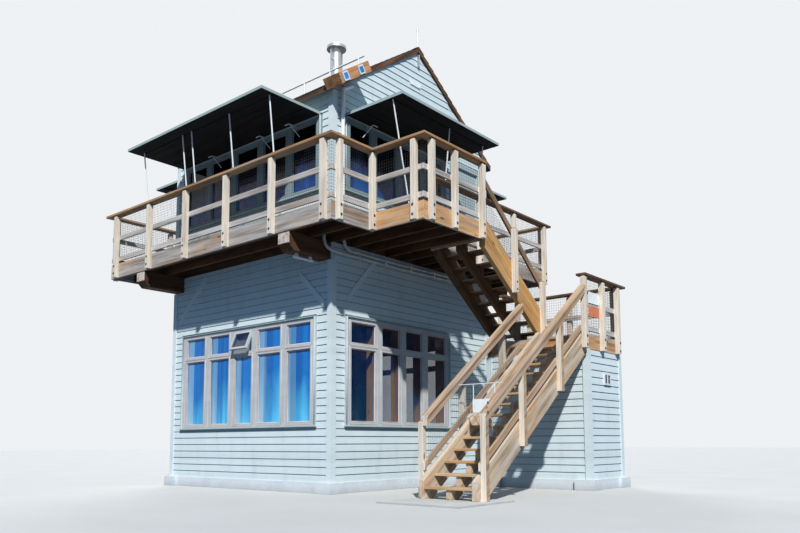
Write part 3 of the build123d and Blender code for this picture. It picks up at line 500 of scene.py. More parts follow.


# Glass: plain float glass set in putty. Its colour is a painted reflection of the blue sky, deep at the head
# of the window and paler towards the sill, with painted vertical bands of the far windows, and it lets the
# dark room and the far windows show through.
def glazing(name, pale, deep, levels, cover, shaded=None):
    """Glass with a painted sky reflection over its height and painted bands of the far windows, and a painted
    shade tint and cover of their own where it is shaded.
    """
    made, tree = new_finish(name)
    place = place_in(tree)
    wave = noise_of(tree, stretched(tree, place, (1.0, 1.0, 0.35)), 2.2, 2)
    height = figured(tree, "ADD", share_of(tree, part_of(tree, place, "Z"), *levels), wave)
    # painted reflection: the sky's blue, pale low on the pane and deep at its head
    painted_sky = ramp_of(tree, height, (0.5, pale), (1.0, deep))
    # painted bands: darker and lighter vertical bands of the far windows
    painted_window_bands = noise_of(tree, stretched(tree, place, (2.6, 2.6, 0.03)), 1.0, 2)
    painted_sky = mixed(tree, ramp_of(tree, painted_window_bands, (0.44, 0.0), (0.51, 1.0)),
                 times(tree, painted_sky, (0.42, 0.64, 0.76, 1)), painted_sky)
    # painted shade: a darker tint and a thinner cover on the panes off the left wall and on the open sash
    if shaded:
        tint, thin_cover = shaded
        across = part_of(tree, place, "X")
        aside = figured(tree, "MAXIMUM", share_of(tree, across, -2.29, -2.2),
                        share_of(tree, across, -2.3, -2.315))
        painted_sky = mixed(tree, aside, painted_sky, times(tree, painted_sky, (*tint, 1)))
        cover = add(tree, "ShaderNodeMapRange", {"Value": aside, "To Min": cover,
                                                 "To Max": thin_cover}).outputs[0]
    return coated(made, painted_sky, ramp_of(tree, wave, (0.3, 0.03), (0.7, 0.07)), 0.2, (wave, 0.05, 0.01),
                  Alpha=cover)


# The lower panes carry a painted sky reflection, with a painted shade tint on the panes off the left wall.
dress(["lower_glass"], glazing("lower_glass", (0.13, 0.66, 1.0), (0.002, 0.21, 0.64), (1.2, 2.9), 0.86,
                               ((0.1, 0.12, 0.16), 0.34)))
# The cab panes are near black at the head as painted shadow of the shutters, and deep blue below as painted
# sky reflection.
dress(["cab_glass"], glazing("cab_glass", (0.008, 0.095, 0.36), (0.003, 0.005, 0.01), (5.2, 6.4), 0.8))


# Doors: ledged plank leaves in painted trims, with a lever handle on a back plate.
# Three raised rails are planted on the outer face of each leaf.
def blocks(name, parts, ease, finish):
    """Blocks with eased edges, drawn on the front as (low, high, side) and turned to their own sides."""
    mesh = bmesh.new()
    for low, high, side in parts:
        low, high = ([pick(pair) for pair in zip(turned(side, *low), turned(side, *high))]
                     for pick in (min, max))
        for vert in bmesh.ops.create_cube(mesh, size=1)["verts"]:
            for axis in range(3):
                vert.co[axis] = low[axis] if vert.co[axis] < 0 else high[axis]
    if ease:
        bmesh.ops.bevel(mesh, geom=list(mesh.edges), offset=ease, segments=1, affect="EDGES")
    data = bpy.data.meshes.new(name)
    mesh.to_mesh(data)
    return piece_of(name, data, [finish])


def metal(name, pale, dark, rough=(0.35, 0.6), metallic=0.85):
    """Zinc-coated or painted metal with spangle, dull patches and fine scratches."""
    made, tree = new_finish(name)
    place = place_in(tree)
    spangle = add(tree, "ShaderNodeTexVoronoi", {"Vector": place, "Scale": 38.0}).outputs["Distance"]
    scratch = noise_of(tree, stretched(tree, place, (60, 60, 4)), 3, 3)
    base = times(tree, ramp_of(tree, noise_of(tree, place, 6, 5), (0.32, dark), (0.66, pale)),
                 ramp_of(tree, spangle, (0.1, 0.9), (0.6, 1.0)))
    return coated(made, base, ramp_of(tree, scratch, (0.3, rough[0]), (0.7, rough[1])), 0.5,
                  (scratch, 0.08, 0.001), Metallic=metallic)


door_paint = painted("door_paint", (0.4, 0.49, 0.5), 0.6, (1.4, 1.4, 0.3))
zinc = metal("zinc_coated_steel", (0.62, 0.64, 0.66), (0.4, 0.42, 0.45))
dress(["cab_door", "lower_door"], door_paint)
door_rails, handle_parts = [], []
for sill, side in ((4.485, "front"), (0.178, "right")):
    door_rails += [((1.12, -2.283, sill + low), (1.98, -2.269, sill + high), side)
                   for low, high in ((0.02, 0.22), (0.88, 1.02), (1.82, 2.0))]
    handle_parts += [((1.16, -2.292, sill + 0.93), (1.2, -2.283, sill + 1.09), side),
                     ((1.17, -2.322, sill + 1.0), (1.19, -2.29, sill + 1.02), side),
                     ((1.17, -2.326, sill + 1.0), (1.29, -2.314, sill + 1.02), side)]
blocks("door_rails", door_rails, 0.003, door_paint)
blocks("door_handles", handle_parts, 0.002, zinc)

# Sills and linings: a bevelled sill sheds water under each row of lights, and a thin cap over its head.
# Inside, every mullion is lined in clear golden fir that shows through the glass.
sill_parts, lining_parts = [], []
lining_out, lining_in = -2.236, -2.06
for side, lights, low, high in window_rows:
    left, right = lights[0][0], lights[-1][1]
    sill_parts += [((left - 0.085, -2.362, low - 0.04), (right + 0.085, -2.325, low - 0.012), side),
                   ((left - 0.075, -2.348, high + 0.054), (right + 0.075, -2.325, high + 0.066), side)]
    lining_parts += [((place - 0.045, lining_out, low + rail), (place + 0.045, lining_in, high - rail), side)
                     for place in [left + 0.03] + [stop for start, stop in lights[:-1]] + [right - 0.03]]
    lining_parts += [((left, lining_out, level), (right, lining_in, level + rail), side)
                     for level in (low, high - rail)]
blocks("window_sills", sill_parts, 0.004, casing_paint)
# painted reflection: opaque pale strips at the glass of the left lights, standing for the lit jambs reflected
# in it
painted_reflection_parts = [((left + stile, -2.2885, low + rail),
               (left + stile + 0.34 * (right - left - 2 * stile), -2.2865, high - rail), "left")
              for left, right in side_lights for low, high in lower_levels
              if not is_awning("left", left, high)]
blocks("painted_reflection_strips", painted_reflection_parts, 0.0, glazing("painted_reflection_strip_glass", (0.3, 0.5, 0.66), (0.16, 0.34, 0.56),
                                              (1.2, 2.9), 1.0))


def timber(name, pale, mid, dark, stain=None, amount=0.5, rough=(0.62, 0.85), depth=0.0022, silver=0.0):
    """Sawn timber whose grain follows the board: streaks, knots, checks, stains and a silvered face."""
    made, tree = new_finish(name)
    grain = add(tree, "ShaderNodeAttribute", attribute_name="grain").outputs["Vector"]
    fine = noise_of(tree, stretched(tree, grain, (1.5, 55, 55)), 1.4, 6, 0.62)
    broad = noise_of(tree, stretched(tree, grain, (0.7, 9, 9)), 1.2, 4)
    cloud = noise_of(tree, stretched(tree, grain, (0.8, 2.4, 2.4)), 1.3, 4)
    rings = add(tree, "ShaderNodeTexWave", {
        "Vector": stretched(tree, grain, (0.25, 9, 9)), "Scale": 1.6, "Distortion": 5.0, "Detail": 3.0,
        "Detail Scale": 1.2}, bands_direction="Y").outputs["Fac"]
    knots = add(tree, "ShaderNodeTexVoronoi", {"Vector": stretched(tree, grain, (1.3, 5.5, 5.5)),
                                               "Scale": 1.0}).outputs["Distance"]
    body = mixed(tree, 0.35, ramp_of(tree, broad, (0.34, dark), (0.47, mid), (0.63, pale)),
                 ramp_of(tree, rings, (0.1, mid), (0.9, pale)))
    if stain:
        body = mixed(tree, ramp_of(tree, cloud, (0.52, 0.0), (0.68, amount)), body, (*stain, 1))
    if silver:
        worn = noise_of(tree, stretched(tree, grain, (0.55, 13, 13), (7, 3, 1)), 1.0, 5)
        body = mixed(tree, ramp_of(tree, worn, (0.47, 0.0), (0.62, silver)), body, (0.6, 0.585, 0.57, 1))
    body = mixed(tree, 0.8, body, times(tree, body, ramp_of(tree, fine, (0.3, 0.4), (0.48, 1.0))))
    spots = ramp_of(tree, knots, (0.05, (0.26, 0.17, 0.12)), (0.1, 1.0))
    return coated(made, times(tree, body, spots), ramp_of(tree, broad, (0.3, rough[1]), (0.7, rough[0])),
                  0.12, (fine, 0.35, depth))


def grain_on(mesh, lay):
    """For each face, the grain runs along the direction that lay gives, from a place of its own."""
    values = []
    for polygon in mesh.polygons:
        along, number, slot_index = lay(polygon.center, polygon.normal)
        along = Vector(along).normalized()
        side = along.cross(Vector((0, 0, 1)) if abs(along.z) < 0.9 else Vector((0, 1, 0))).normalized()
        other = along.cross(side)
        own = random.Random(number)
        shift = Vector([own.uniform(0, 40) for axis in range(3)])
        polygon.material_index = slot_index
        for index in polygon.vertices:
            at = mesh.vertices[index].co
            values += (Vector((at.dot(along), at.dot(side), at.dot(other))) + shift)[:]
    mesh.attributes.new("grain", "FLOAT_VECTOR", "CORNER").data.foreach_set("vector", values)


fir = timber("golden_fir_lining", (0.88, 0.5, 0.17), (0.76, 0.39, 0.12), (0.48, 0.23, 0.07))
linings = blocks("window_linings", lining_parts, 0.003, fir)
grain_on(linings.data, lambda at, out: ((0, 0, 1), round(at.x * 3) + 20 * round(at.y * 3), 0))


# Catwalk framing: two heavy sawn beams through the walls carry closely spaced joists.
# All of it is weathered fir, dark brown under the deck and bleached at the beam ends.
def eased(node, lay, finishes, ease=0.004):
    """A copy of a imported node's timbers with eased edges and a grain on every face, in its place."""
    copy = nodes[node].data.copy()
    mesh = bmesh.new()
    mesh.from_mesh(copy)
    bmesh.ops.remove_doubles(mesh, verts=mesh.verts, dist=0.00002)
    bmesh.ops.dissolve_limit(mesh, angle_limit=math.radians(0.6), verts=mesh.verts, edges=mesh.edges)
    mesh.to_mesh(copy)
    copy.materials.clear()
    rough_cut = bpy.data.objects.new(node + "_rough", copy)
    scene.collection.objects.link(rough_cut)
    edge = rough_cut.modifiers.new("ease", "BEVEL")
    edge.width, edge.segments = ease, 1
    edge.limit_method, edge.angle_limit = "ANGLE", math.radians(40)
    piece = piece_of(node + "_timbers", plain_mesh(rough_cut), finishes)
    grain_on(piece.data, lay)
    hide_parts(node)


brown = timber("weathered_brown_timber", (0.12, 0.062, 0.032), (0.068, 0.034, 0.018),
               (0.024, 0.013, 0.008), (0.22, 0.1, 0.035), 0.35)
bleached = timber("bleached_end_timber", (0.7, 0.63, 0.55), (0.5, 0.42, 0.34), (0.24, 0.17, 0.12),
                  (0.5, 0.27, 0.11), 0.5, silver=0.5)
beam_end, joist_spacing = 3.08, 0.456
eased("deck_beams", lambda at, out: ((1, 0, 0), 3 if at.y < 0 else 4,
                                     abs(at.x) > beam_end and out.z > -0.3),
      [brown, bleached], 0.006)
eased("deck_joists", lambda at, out: ((0, 1, 0), round(at.x / joist_spacing), 0), [brown],
      0.003)

# Catwalk boards: 38 mm planks laid across the joists with narrow open joints.
# They are unpainted, grey on top where the sun bleaches them.
grey_board = timber("grey_deck_board", (0.45, 0.42, 0.38), (0.34, 0.305, 0.265), (0.2, 0.17, 0.14),
                    (0.42, 0.26, 0.13), 0.35)
plank_pitch, plank_gap, plank_thickness = 0.145, 0.005, 0.038


def planks(name, node, across, base, fields):
    """Planks over rectangles (x low, x high, y low, y high), each with its own grain."""
    faces = []
    for x0, x1, y0, y1 in fields:
        (low, high), ends = ((y0, y1), (x0, x1)) if across == "x" else ((x0, x1), (y0, y1))
        count = max(1, round((high - low) / plank_pitch))
        step = (high - low + plank_gap) / count
        for index in range(count):
            a, b = low + index * step, low + (index + 1) * step - plank_gap
            cuts = [ends[0]]
            while ends[1] - cuts[-1] > 5.0:
                cuts.append(cuts[-1] + chance.uniform(2.0, 4.0))
            cuts.append(ends[1])
            for start, stop in zip(cuts, cuts[1:]):
                inner = stop - (0.003 if stop != ends[1] else 0)
                u0, u1, v0, v1 = (start, inner, a, b) if across == "x" else (a, b, start, inner)
                faces.append([((u, v, base), 0) for u, v in ((u0, v0), (u1, v0), (u1, v1), (u0, v1))])
    piece = boarded(name, faces, "deck_boards", plank_thickness, plank_thickness, grey_board)
    way, axis = ((1, 0, 0), 1) if across == "x" else ((0, 1, 0), 0)
    grain_on(piece.data, lambda at, out: (way, round(at[axis] / plank_pitch) * 7, 0))
    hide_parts(node)


planks("catwalk_planks", "deck_boards", "x", 4.447, [
    (-3.192, 3.192, -3.192, 3.192), (-2.277, -0.763, -4.249, -3.197), (-0.763, -0.691, -4.198, -3.319)])

# Catwalk fascia: a wide board round the edge, bolted to the joist ends.
# It has greyed, and it is rusty orange round the platform, where water runs off the planks.
silvered = timber("silvered_fascia", (0.43, 0.39, 0.355), (0.27, 0.235, 0.205), (0.085, 0.065, 0.05),
                  (0.44, 0.21, 0.07), 0.75, silver=0.5)
rusty = timber("rusty_fascia", (0.64, 0.43, 0.24), (0.49, 0.27, 0.12), (0.16, 0.085, 0.04),
               (0.66, 0.24, 0.05), 0.9, silver=0.3)


def edge_lay(at, out):
    """Along the edge that a fascia face belongs to."""
    if abs(out.z) > 0.5:
        return ((0, 1, 0) if abs(at.x) > 3.19 and at.y > -3.2 else (1, 0, 0)), 1, 0
    return (((0, 1, 0) if abs(out.x) > abs(out.y) else (1, 0, 0)), round(at.x * 2) + 40 * round(at.y),
            at.y < -3.25)


for node in ("deck_fascia", "landing_rim"):
    eased(node, edge_lay, [silvered, rusty])

# Catwalk and landing guards: pale cedar posts outside the edge, cut to a point at the head, two grey
# rails inside them, and a wide flat cap that has turned orange-brown.
cedar = timber("pale_cedar_post", (0.82, 0.74, 0.63), (0.73, 0.63, 0.51), (0.5, 0.39, 0.29),
               (0.5, 0.41, 0.33), 0.55, silver=0.35)
rail_grey = timber("grey_guard_rail", (0.56, 0.53, 0.5), (0.42, 0.385, 0.355), (0.17, 0.14, 0.12),
                   (0.4, 0.25, 0.15), 0.4, silver=0.6)
cap_tan = timber("tan_guard_cap", (0.48, 0.28, 0.13), (0.33, 0.17, 0.07), (0.13, 0.065, 0.035),
                 (0.22, 0.14, 0.09), 0.5, silver=0.25)
cap_dark = timber("dark_guard_cap", (0.2, 0.12, 0.07), (0.12, 0.07, 0.042), (0.055, 0.032, 0.02),
                  (0.28, 0.16, 0.08), 0.4)


def guard_lay(run, edge, out_sign, cap_low):
    """Which way the grain runs on a guard's cap, rails and posts, and which finish each has."""
    axis, way = (0, (1, 0, 0)) if run == "x" else (1, (0, 1, 0))

    def lay(at, out):
        if at.z > cap_low - 0.001:
            return way, round(edge * 10), 2
        proud = (at[1 - axis] - edge) * out_sign
        if proud > 0.0015 or proud > -0.0015 and out[1 - axis] * out_sign < -0.5:
            return (0, 0, 1), round(at[axis] * 8), 0
        return way, round(at.z * 20), 1
    return lay


deck_level, landing_level = 4.485, 2.699
guard_runs = [("left_guard", "y", -3.23, -1, deck_level), ("right_guard", "y", 3.23, 1, deck_level),
              ("back_guard", "x", 3.23, 1, deck_level), ("front_left_guard", "x", -3.23, -1, deck_level),
              ("front_right_guard", "x", -3.23, -1, deck_level), ("jog_guard", "y", -2.315, -1, deck_level),
              ("platform_guard", "x", -4.287, -1, deck_level),
              ("landing_front_guard", "x", -5.282, -1, landing_level),
              ("landing_right_guard", "y", 2.291, 1, landing_level),
              ("landing_back_guard", "x", -3.205, 1, landing_level)]
for node, run, edge, out_sign, level in guard_runs:
    cap = cap_tan if level == deck_level and node != "front_right_guard" else cap_dark
    eased(node, guard_lay(run, edge, out_sign, level + 0.991), [cedar, rail_grey, cap])

# Bolts: each guard post is held to the fascia by two hexagon bolts on round washers.
# Their zinc has dulled nearly black.
bolted, given, end = new_tree("bolts", Radius="Float")
facing = add(bolted, "GeometryNodeInputNamedAttribute", {"Name": "facing"}, data_type="FLOAT_VECTOR")
turn = add(bolted, "FunctionNodeAlignRotationToVector", {"Vector": facing.outputs["Attribute"]}, axis="Z")
pair = add(bolted, "GeometryNodeJoinGeometry")
for sides, radius, depth in ((6, given["Radius"], 0.018),
                             (12, figured(bolted, "MULTIPLY", given["Radius"], 1.55), 0.006)):
    disc = add(bolted, "GeometryNodeMeshCylinder", {"Vertices": sides, "Radius": radius, "Depth": depth})
    feed(bolted, pair, {0: disc.outputs["Mesh"]})
spread = add(bolted, "GeometryNodeInstanceOnPoints", {
    "Points": given["Geometry"], "Instance": pair.outputs[0], "Rotation": turn.outputs[0]})
close_tree(bolted, given, end, spread.outputs[0])
dark_bolt = metal("dulled_bolt", (0.16, 0.15, 0.14), (0.07, 0.06, 0.055), (0.5, 0.7), 0.6)


def bolts(name, places, radius):
    """Bolts at places, each a point and the way that it faces."""
    mesh = bpy.data.meshes.new(name)
    mesh.from_pydata([point for point, way in places], [], [])
    ways = [part for point, way in places for part in way]
    mesh.attributes.new("facing", "FLOAT_VECTOR", "POINT").data.foreach_set("vector", ways)
    grow(name, mesh, bolted, "fittings", radius=radius, finish=dark_bolt)


def on_run(run, along, across, z):
    """The point that far along and across a guard that runs in x or in y."""
    return (along, across, z) if run == "x" else (across, along, z)


run_places = [-3.1 + index * 1.216 for index in range(6)]
post_places = {"left_guard": run_places, "right_guard": run_places,
               "back_guard": [-3.1 + index * 1.24 for index in range(6)], "front_left_guard": (-3.1, -2.3595),
               "front_right_guard": (3.1, 1.884, 0.668), "jog_guard": (-4.137,),
               "platform_guard": (-2.17, -1.575, -0.81), "landing_front_guard": (0.787, 1.487, 2.117),
               "landing_right_guard": (-5.152, -4.2435, -3.335), "landing_back_guard": (2.161, 1.5345)}
post_depth = 0.092
bolts("guard_bolts", [(on_run(run, place, edge + out_sign * post_depth, level - drop),
                       on_run(run, 0, out_sign, 0))
                      for node, run, edge, out_sign, level in guard_runs
                      for place in post_places[node] for drop in (0.065, 0.215)], 0.014)

# Wire mesh: welded steel wire in 50 mm squares, stapled behind the posts in every guard.
# On the stair its long wires follow the slope.
wired = swept_tree("wires", "GeometryNodeCurvePrimitiveCircle", {"Resolution": "Sides", "Radius": "Radius"},
                   Radius="Float", Sides="Int")
cell = 0.05


def woven(start, stop, low_start, low_stop, tall, point_at):
    """Wires of a panel between two places on its run, with the given lower ends and height."""
    count, levels = max(2, round((stop - start) / cell)), round(tall / cell)
    lines = []
    for index in range(count + 1):
        share = index / count
        u, low = start + (stop - start) * share, low_start + (low_stop - low_start) * share
        lines.append([point_at(u, low), point_at(u, low + tall)])
    for index in range(levels + 1):
        up = tall * index / levels
        lines.append([point_at(start, low_start + up), point_at(stop, low_stop + up)])
    return lines


wire_lines = []
for node, run, edge, out_sign, level in guard_runs:
    low_corner, high_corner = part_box(node)
    axis = 0 if run == "x" else 1
    plane = edge - out_sign * 0.04
    wire_lines += woven(low_corner[axis] + 0.1, high_corner[axis] - 0.1, level + 0.02, level + 0.02, 0.96,
                        lambda u, z: on_run(run, u, plane, z))
pitch = 178.6 / 241
nose_low = 0.02 + 0.1786 + 2.451 * pitch
nose_up = landing_level + 0.1786 + 1.478 * pitch
for plane, start, stop, nose, slope, above, tall in (
        (-5.242, -2.27, 0.7, nose_low, pitch, 0.17, 0.66), (-4.312, -2.27, 0.34, nose_low, pitch, 0.17, 0.66),
        (-4.246, -0.7, 1.13, nose_up, -pitch, 0.05, 0.5)):
    wire_lines += woven(start, stop, nose + start * slope + above, nose + stop * slope + above, tall,
                        lambda u, z: (u, plane, z))
dark_wire = metal("dark_wire", (0.045, 0.045, 0.045), (0.025, 0.025, 0.025), (0.6, 0.8), 0.0)
grow("guard_wire_mesh", loop_mesh("guard_wire_mesh", wire_lines, False), wired, "fittings", radius=0.0017,
     sides=4, finish=dark_wire)

# Stair flights: golden sawn stringers with a notched carriage between them, and thick plank treads
# with open risers. Feet and edges are worn and a little grey.
golden = timber("golden_stringer", (0.62, 0.37, 0.14), (0.48, 0.25, 0.08), (0.18, 0.09, 0.04),
                (0.68, 0.34, 0.09), 0.6, silver=0.12)
worn_fir = timber("worn_stringer", (0.62, 0.51, 0.39), (0.49, 0.37, 0.25), (0.17, 0.11, 0.07),
                  (0.54, 0.29, 0.12), 0.6, silver=0.45)
tread_tan = timber("tan_tread", (0.58, 0.42, 0.25), (0.45, 0.28, 0.14), (0.19, 0.11, 0.06),
                   (0.6, 0.28, 0.08), 0.7, silver=0.25)
shaded_fir = timber("shaded_stringer", (0.18, 0.098, 0.047), (0.11, 0.057, 0.027), (0.05, 0.027, 0.014),
                    (0.3, 0.15, 0.055), 0.4)
up_slope, down_slope = (0.241, 0, 0.1786), (-0.241, 0, 0.1786)
half_riser, sunlit_to = 0.0893, -4.19
eased("lower_stringers", lambda at, out: (up_slope, round(at.y * 4), 0), [worn_fir])
eased("upper_stringers", lambda at, out: (down_slope, round(at.y * 4) + 50, at.y > sunlit_to),
      [golden, shaded_fir])
for node, finishes in (("lower_treads", [tread_tan]), ("upper_treads", [tread_tan, shaded_fir])):
    eased(node, lambda at, out: ((0, 1, 0), round(at.z / half_riser) + 200,
                                 out.z < -0.5 and len(finishes) > 1),
          finishes, 0.006)


def stair_guard_lay(slope_way, places, hand_low):
    """Posts are plumb and pale, the rails rake with the flight."""
    def lay(at, out):
        near = min(places, key=lambda place: abs(place - at.x))
        aside, below = abs(near - at.x), at.z < hand_low(at.x)
        if aside < 0.0451 and (abs(out.x) > 0.9 or aside < 0.0443 and below):
            return (0, 0, 1), round(near * 8), 0
        return slope_way, round(at.y * 9), 1 if below else 2
    return lay


half = 2.315
lower_places = [place - half for place in (0, 1.02, 2.2)]
upper_places = [place - half for place in (2.5, 3.45)]
rosy_rail = timber("rosy_stair_rail", (0.55, 0.39, 0.25), (0.41, 0.26, 0.15), (0.16, 0.095, 0.055),
                   (0.34, 0.28, 0.23), 0.5, silver=0.3)
dark_rail = timber("dark_hand_rail", (0.3, 0.185, 0.11), (0.2, 0.12, 0.07), (0.1, 0.06, 0.035),
                   (0.36, 0.28, 0.2), 0.4)
for node in ("lower_outer_guard", "lower_inner_guard"):
    eased(node, stair_guard_lay(up_slope, lower_places, lambda x: nose_low + x * pitch + 0.79),
          [cedar, rosy_rail, rosy_rail])
eased("upper_outer_guard", stair_guard_lay(down_slope, upper_places,
                                           lambda x: nose_up - x * pitch + 0.45),
      [cedar, golden, dark_rail])
stair_bolts = []
for node, places, out_sign in (("lower_outer_guard", lower_places, -1),
                               ("lower_inner_guard", lower_places, 1),
                               ("upper_outer_guard", upper_places, -1)):
    corners = [vert.co for vert in nodes[node].data.vertices]
    face_at = out_sign * max(out_sign * corner.y for corner in corners)
    for place in places:
        feet = [corner.z for corner in corners
                if abs(corner.x - place) < 0.046 and abs(corner.y - face_at) < 0.002]
        stair_bolts += [((place, face_at + out_sign * 0.002, min(feet) + above), (0, out_sign, 0))
                        for above in (0.06, 0.19) if feet]
bolts("stair_bolts", stair_bolts, 0.012)
planks("landing_planks", "landing_boards", "y", 2.661, [
    (0.957, 2.291, -5.282, -3.205), (0.923, 0.955, -5.193, -4.36)])

# Annex vent: a painted frame in the end wall with sloping slats behind its two openings.
# The slats are planted in the frame one above the other.
slat_faces = []
for left, right in ((1.587, 1.677), (1.707, 1.797)):
    for z in [1.868 + index * 0.0215 for index in range(7)]:
        slat_faces.append([((left, -5.292, z), 0), ((right, -5.292, z), 0), ((right, -5.268, z + 0.02), 0),
                           ((left, -5.268, z + 0.02), 0)])
dress(["annex_vent"], painted("vent_frame_paint", (0.66, 0.7, 0.74), 0.4))
boarded("vent_slats", slat_faces, "cab_frames", 0.004, 0.004,
        painted("vent_slat_paint", (0.055, 0.07, 0.11), 0.5))

# Shutters: top-hung plywood panels propped level, pale mint on top and on their edges, and nearly black
# beneath as painted shade, where boards are battened across.
# painted shade: the undersides and their battens are nearly black
painted_shade_board = timber("painted_shade_underside", (0.016, 0.016, 0.017), (0.01, 0.01, 0.011),
                     (0.005, 0.005, 0.006), (0.024, 0.021, 0.018), 0.4, (0.85, 0.95))
shutter_mint = painted("shutter_paint", (0.36, 0.45, 0.44), 0.6, (1.2, 1.2, 1.2))
eased("shutters", lambda at, out: ((1, 0, 0) if abs(at.y) > abs(at.x) else (0, 1, 0), 5, out.z < -0.5),
      [shutter_mint, painted_shade_board], 0.004)
battens = blocks("shutter_battens", [
    ((-1.97, -reach - 0.06, 6.462), (stop, -reach, 6.4795), side)
    for side, stop in (("front", 0.8), ("left", 1.99), ("right", 1.99), ("back", 1.99))
    for reach in (2.62, 3.3)], 0.002, painted_shade_board)
grain_on(battens.data, lambda at, out: ((1, 0, 0), 9, 0))
white_metal = metal("white_enamelled_rod", (0.84, 0.86, 0.87), (0.7, 0.73, 0.75), (0.45, 0.6), 0.0)
dress(["shutter_props", "shutter_hooks"], white_metal)
leg_lines = [[turned(side, u, -reach, z) for u, reach, z in (
    (bend, 2.627, 6.355), (bend + lean * 0.2, 2.618, 6.33), (bend + lean, 2.5, 6.12))]
    for side, bend, lean in (("left", 1.545, 0.14), ("left", 0.755, 0.14), ("left", -0.695, 0.14),
                             ("front", -1.625, -0.14))]
grow("hook_legs", loop_mesh("hook_legs", leg_lines, False), wired, "light_metal", radius=0.007, sides=6,
     finish=white_metal)

# Roof: split cedar shakes in courses over a boarded deck, nearly black with weather.
# The boards at the rake show as a thin red-brown edge.
roof_board = timber("dark_roof_board", (0.1, 0.065, 0.045), (0.065, 0.042, 0.03), (0.03, 0.02, 0.016),
                    (0.16, 0.09, 0.05), 0.4)
rake_board = timber("red_brown_rake_board", (0.19, 0.09, 0.05), (0.115, 0.052, 0.03),
                    (0.045, 0.022, 0.015), (0.05, 0.04, 0.035), 0.6)
down = math.cos(roof_angle)
tall = 0.072 / down
under = gable_foot + wall * roof_rise
roof_reach, roof_end = 2.485, 2.345
for side, sign in (("left", -1), ("right", 1)):
    eaves = under - roof_reach * roof_rise
    outline = [(0, under), (sign * roof_reach, eaves), (sign * roof_reach, eaves + tall), (0, under + tall)]
    mesh = bmesh.new()
    ends = [[mesh.verts.new((x, y, z)) for x, z in outline] for y in (-roof_end, roof_end)]
    mesh.faces.new(ends[0])
    mesh.faces.new(list(reversed(ends[1])))
    for index in range(4):
        mesh.faces.new((ends[0][index], ends[1][index], ends[1][index - 1], ends[0][index - 1]))
    bmesh.ops.recalc_face_normals(mesh, faces=mesh.faces)
    data = bpy.data.meshes.new("roof_deck")
    mesh.to_mesh(data)
    piece = piece_of(f"roof_{side}_deck", data, [roof_board, rake_board])
    grain_on(data, lambda at, out: ((0, 1, 0) if abs(out.y) < 0.5 else (down, 0, -sign * roof_rise), 3,
                                    abs(out.y) > 0.5))
    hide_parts(f"roof_{side}")


def slope_face(sign, corners, raised=0.0):
    """A face that lies on the roof, through corners (distance from the ridge, y, lift)."""
    face = [((sign * x, y, under - x * roof_rise + tall + raised), lift) for x, y, lift in corners]
    return face if sign > 0 else face[::-1]


shake = timber("weathered_shake", (0.115, 0.088, 0.068), (0.07, 0.053, 0.042), (0.03, 0.024, 0.02),
               (0.17, 0.1, 0.055), 0.5, (0.8, 0.95), 0.004)
shake_faces, ridge_faces = [], []
course_count, ridge_count, ridge_length, ridge_reach = 16, 18, 2 * roof_end, 0.15
row = roof_reach / down / course_count
for sign in (-1, 1):
    for index in range(course_count):
        place = -roof_end
        while place < 2.34:
            width = min(chance.uniform(0.09, 0.21), roof_end - place)
            width = width if roof_end - place - width > 0.05 else roof_end - place
            low = index * row + (chance.uniform(0.0, 0.022) if index else 0)
            high = (index + 1) * row + (0.03 if index < course_count - 1 else 0)
            low, high, stop = roof_reach - low * down, roof_reach - high * down, place + width - 0.005
            shake_faces.append(slope_face(sign, (
                (low, place, 0), (low, stop, 0), (high, stop, 1), (high, place, 1))))
            place += width
shakes = boarded("roof_shakes", shake_faces, "roof_shakes", 0.027, 0.006, shake)
grain_on(shakes.data, lambda at, out: ((down, 0, -math.copysign(roof_rise * down, at.x)),
                                       round(at.y * 8) + 31 * round(at.z * 7), 0))
for sign in (-1, 1):
    for index in range(ridge_count):
        y0 = -roof_end + index * ridge_length / ridge_count
        y1 = y0 + ridge_length / ridge_count
        ridge_faces.append(slope_face(sign, (
            (0.0, y0, 0), (ridge_reach, y0, 0), (ridge_reach, y1, 1), (0.0, y1, 1)), 0.008))
ridge = boarded("ridge_shakes", ridge_faces, "roof_shakes", 0.024, 0.01, shake)
grain_on(ridge.data, lambda at, out: ((0, 1, 0), round(at.y * 4), 0))

# Flue, mast and snow rail: galvanised sheet and tube for the flue and mast, white enamelled rod for the snow
# rail, held to the roof by feet and a strap frame.
# The flue's cap is duller than its pipe, though here cap and pipe take the same zinc.
dress(["flue", "mast"], zinc)
dress(["snow_rail"], white_metal)

# Service conduit and tube lamp: grey-white plastic and enamel, clipped to the wall and the deck.
# The conduit bends in under the rake box, and two grey ones run under the deck along the front wall.
dress(["service_conduit"], white_metal)
dress(["wall_lamp"], metal("opal_lamp_tube", (0.93, 0.95, 0.96), (0.86, 0.89, 0.91), (0.2, 0.35), 0.0))
grey_pipe = metal("grey_painted_pipe", (0.62, 0.64, 0.65), (0.46, 0.48, 0.49), (0.45, 0.6), 0.0)
pipe_y = -2.385
pipe_ways = [[(-2.112, pipe_y, 4.32), (-2.104, pipe_y, 4.22), (-2.063, pipe_y, 4.135),
              (-2.0, pipe_y, 4.095), (-1.917, pipe_y, 4.08), (-1.667, pipe_y, 4.078),
              (-0.647, pipe_y, 4.078), (0.86, pipe_y, 4.1)],
             [(-2.49, -2.3, 4.32), (-2.49, -2.305, 4.2), (-2.48, -2.325, 4.11),
              (-2.45, -2.355, 4.05), (-2.39, -2.382, 4.016), (-2.2, pipe_y, 4.006),
              (-0.647, pipe_y, 4.006), (0.86, pipe_y, 4.028)]]
for way in pipe_ways:
    way += [(0.86 + ahead, pipe_y + inward, way[-1][2])
            for ahead, inward in ((0.03, 0.008), (0.05, 0.03), (0.055, 0.09))]
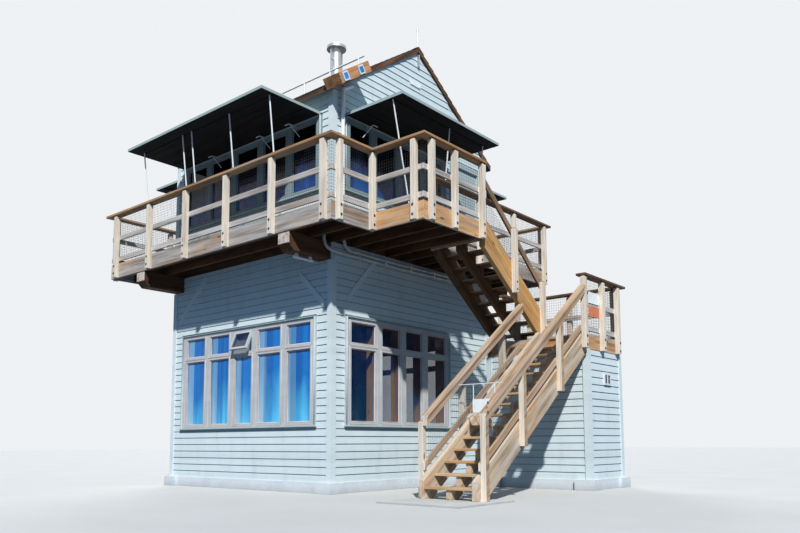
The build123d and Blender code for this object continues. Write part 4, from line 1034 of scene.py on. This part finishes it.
grow("deck_conduits", loop_mesh("deck_conduits", pipe_ways, False), wired, "light_metal", radius=0.027,
     sides=10, finish=grey_pipe)
blocks("conduit_clips", [((x - 0.016, -2.416, 3.972 + up), (x + 0.016, -2.316, 4.11 + up), "front")
                         for x, up in ((-1.75, 0), (-1.05, 0), (-0.35, 0.004), (0.35, 0.014))],
       0.002, zinc)

# Rake box: an orange-brown plywood box on the roof's rake with two small framed lights in its face.
# The lights have white frames, and their opaque panes are blue with a painted sky reflection.
dress(["rake_lights"], painted("light_frame_paint", (0.74, 0.78, 0.8), 0.4))
sine, half_pane = math.sin(roof_angle), 0.05
# The panes are opaque, and their blue is a painted sky reflection.
boarded("rake_light_panes", [
    [((x + down * u - sine * v, -2.7552, z + sine * u + down * v), 0)
     for u, v in ((-half_pane, -half_pane), (half_pane, -half_pane), (half_pane, half_pane),
                  (-half_pane, half_pane))]
    for x, z in ((-2.4317, 6.9123), (-2.0613, 7.1677))], "glass", 0.002, 0.002,
    glazing("rake_light_glass", (0.06, 0.36, 0.85), (0.04, 0.28, 0.75), (6.8, 7.3), 1.0))
box_board = timber("orange_box_board", (0.62, 0.29, 0.12), (0.45, 0.19, 0.07), (0.18, 0.08, 0.035),
                   (0.24, 0.14, 0.08), 0.4, silver=0.15)
eased("rake_box", lambda at, out: ((down, 0, roof_rise * down), round(out.x * 3), 0), [box_board])


# Signs: thin enamelled boards, bare, one hung across the stair, two on the landing and one on the gable.
# They are fixed with wire and small screws.
def enamelled(name, colour, marked, level, half_height):
    """Baked enamel, with the boards that hang at one level in a colour of their own."""
    made, tree = new_finish(name)
    place = place_in(tree)
    here = figured(tree, "COMPARE", part_of(tree, place, "Z"), level, half_height)
    dust = noise_of(tree, place, 9, 5)
    base = times(tree, mixed(tree, here, (*colour, 1), (*marked, 1)),
                 ramp_of(tree, dust, (0.3, 0.86), (0.65, 1.0)))
    return coated(made, base, ramp_of(tree, dust, (0.3, 0.5), (0.7, 0.3)))


dress(["sign_boards"], enamelled("sign_enamel", (0.82, 0.86, 0.88), (0.62, 0.17, 0.07), 3.1075, 0.105))
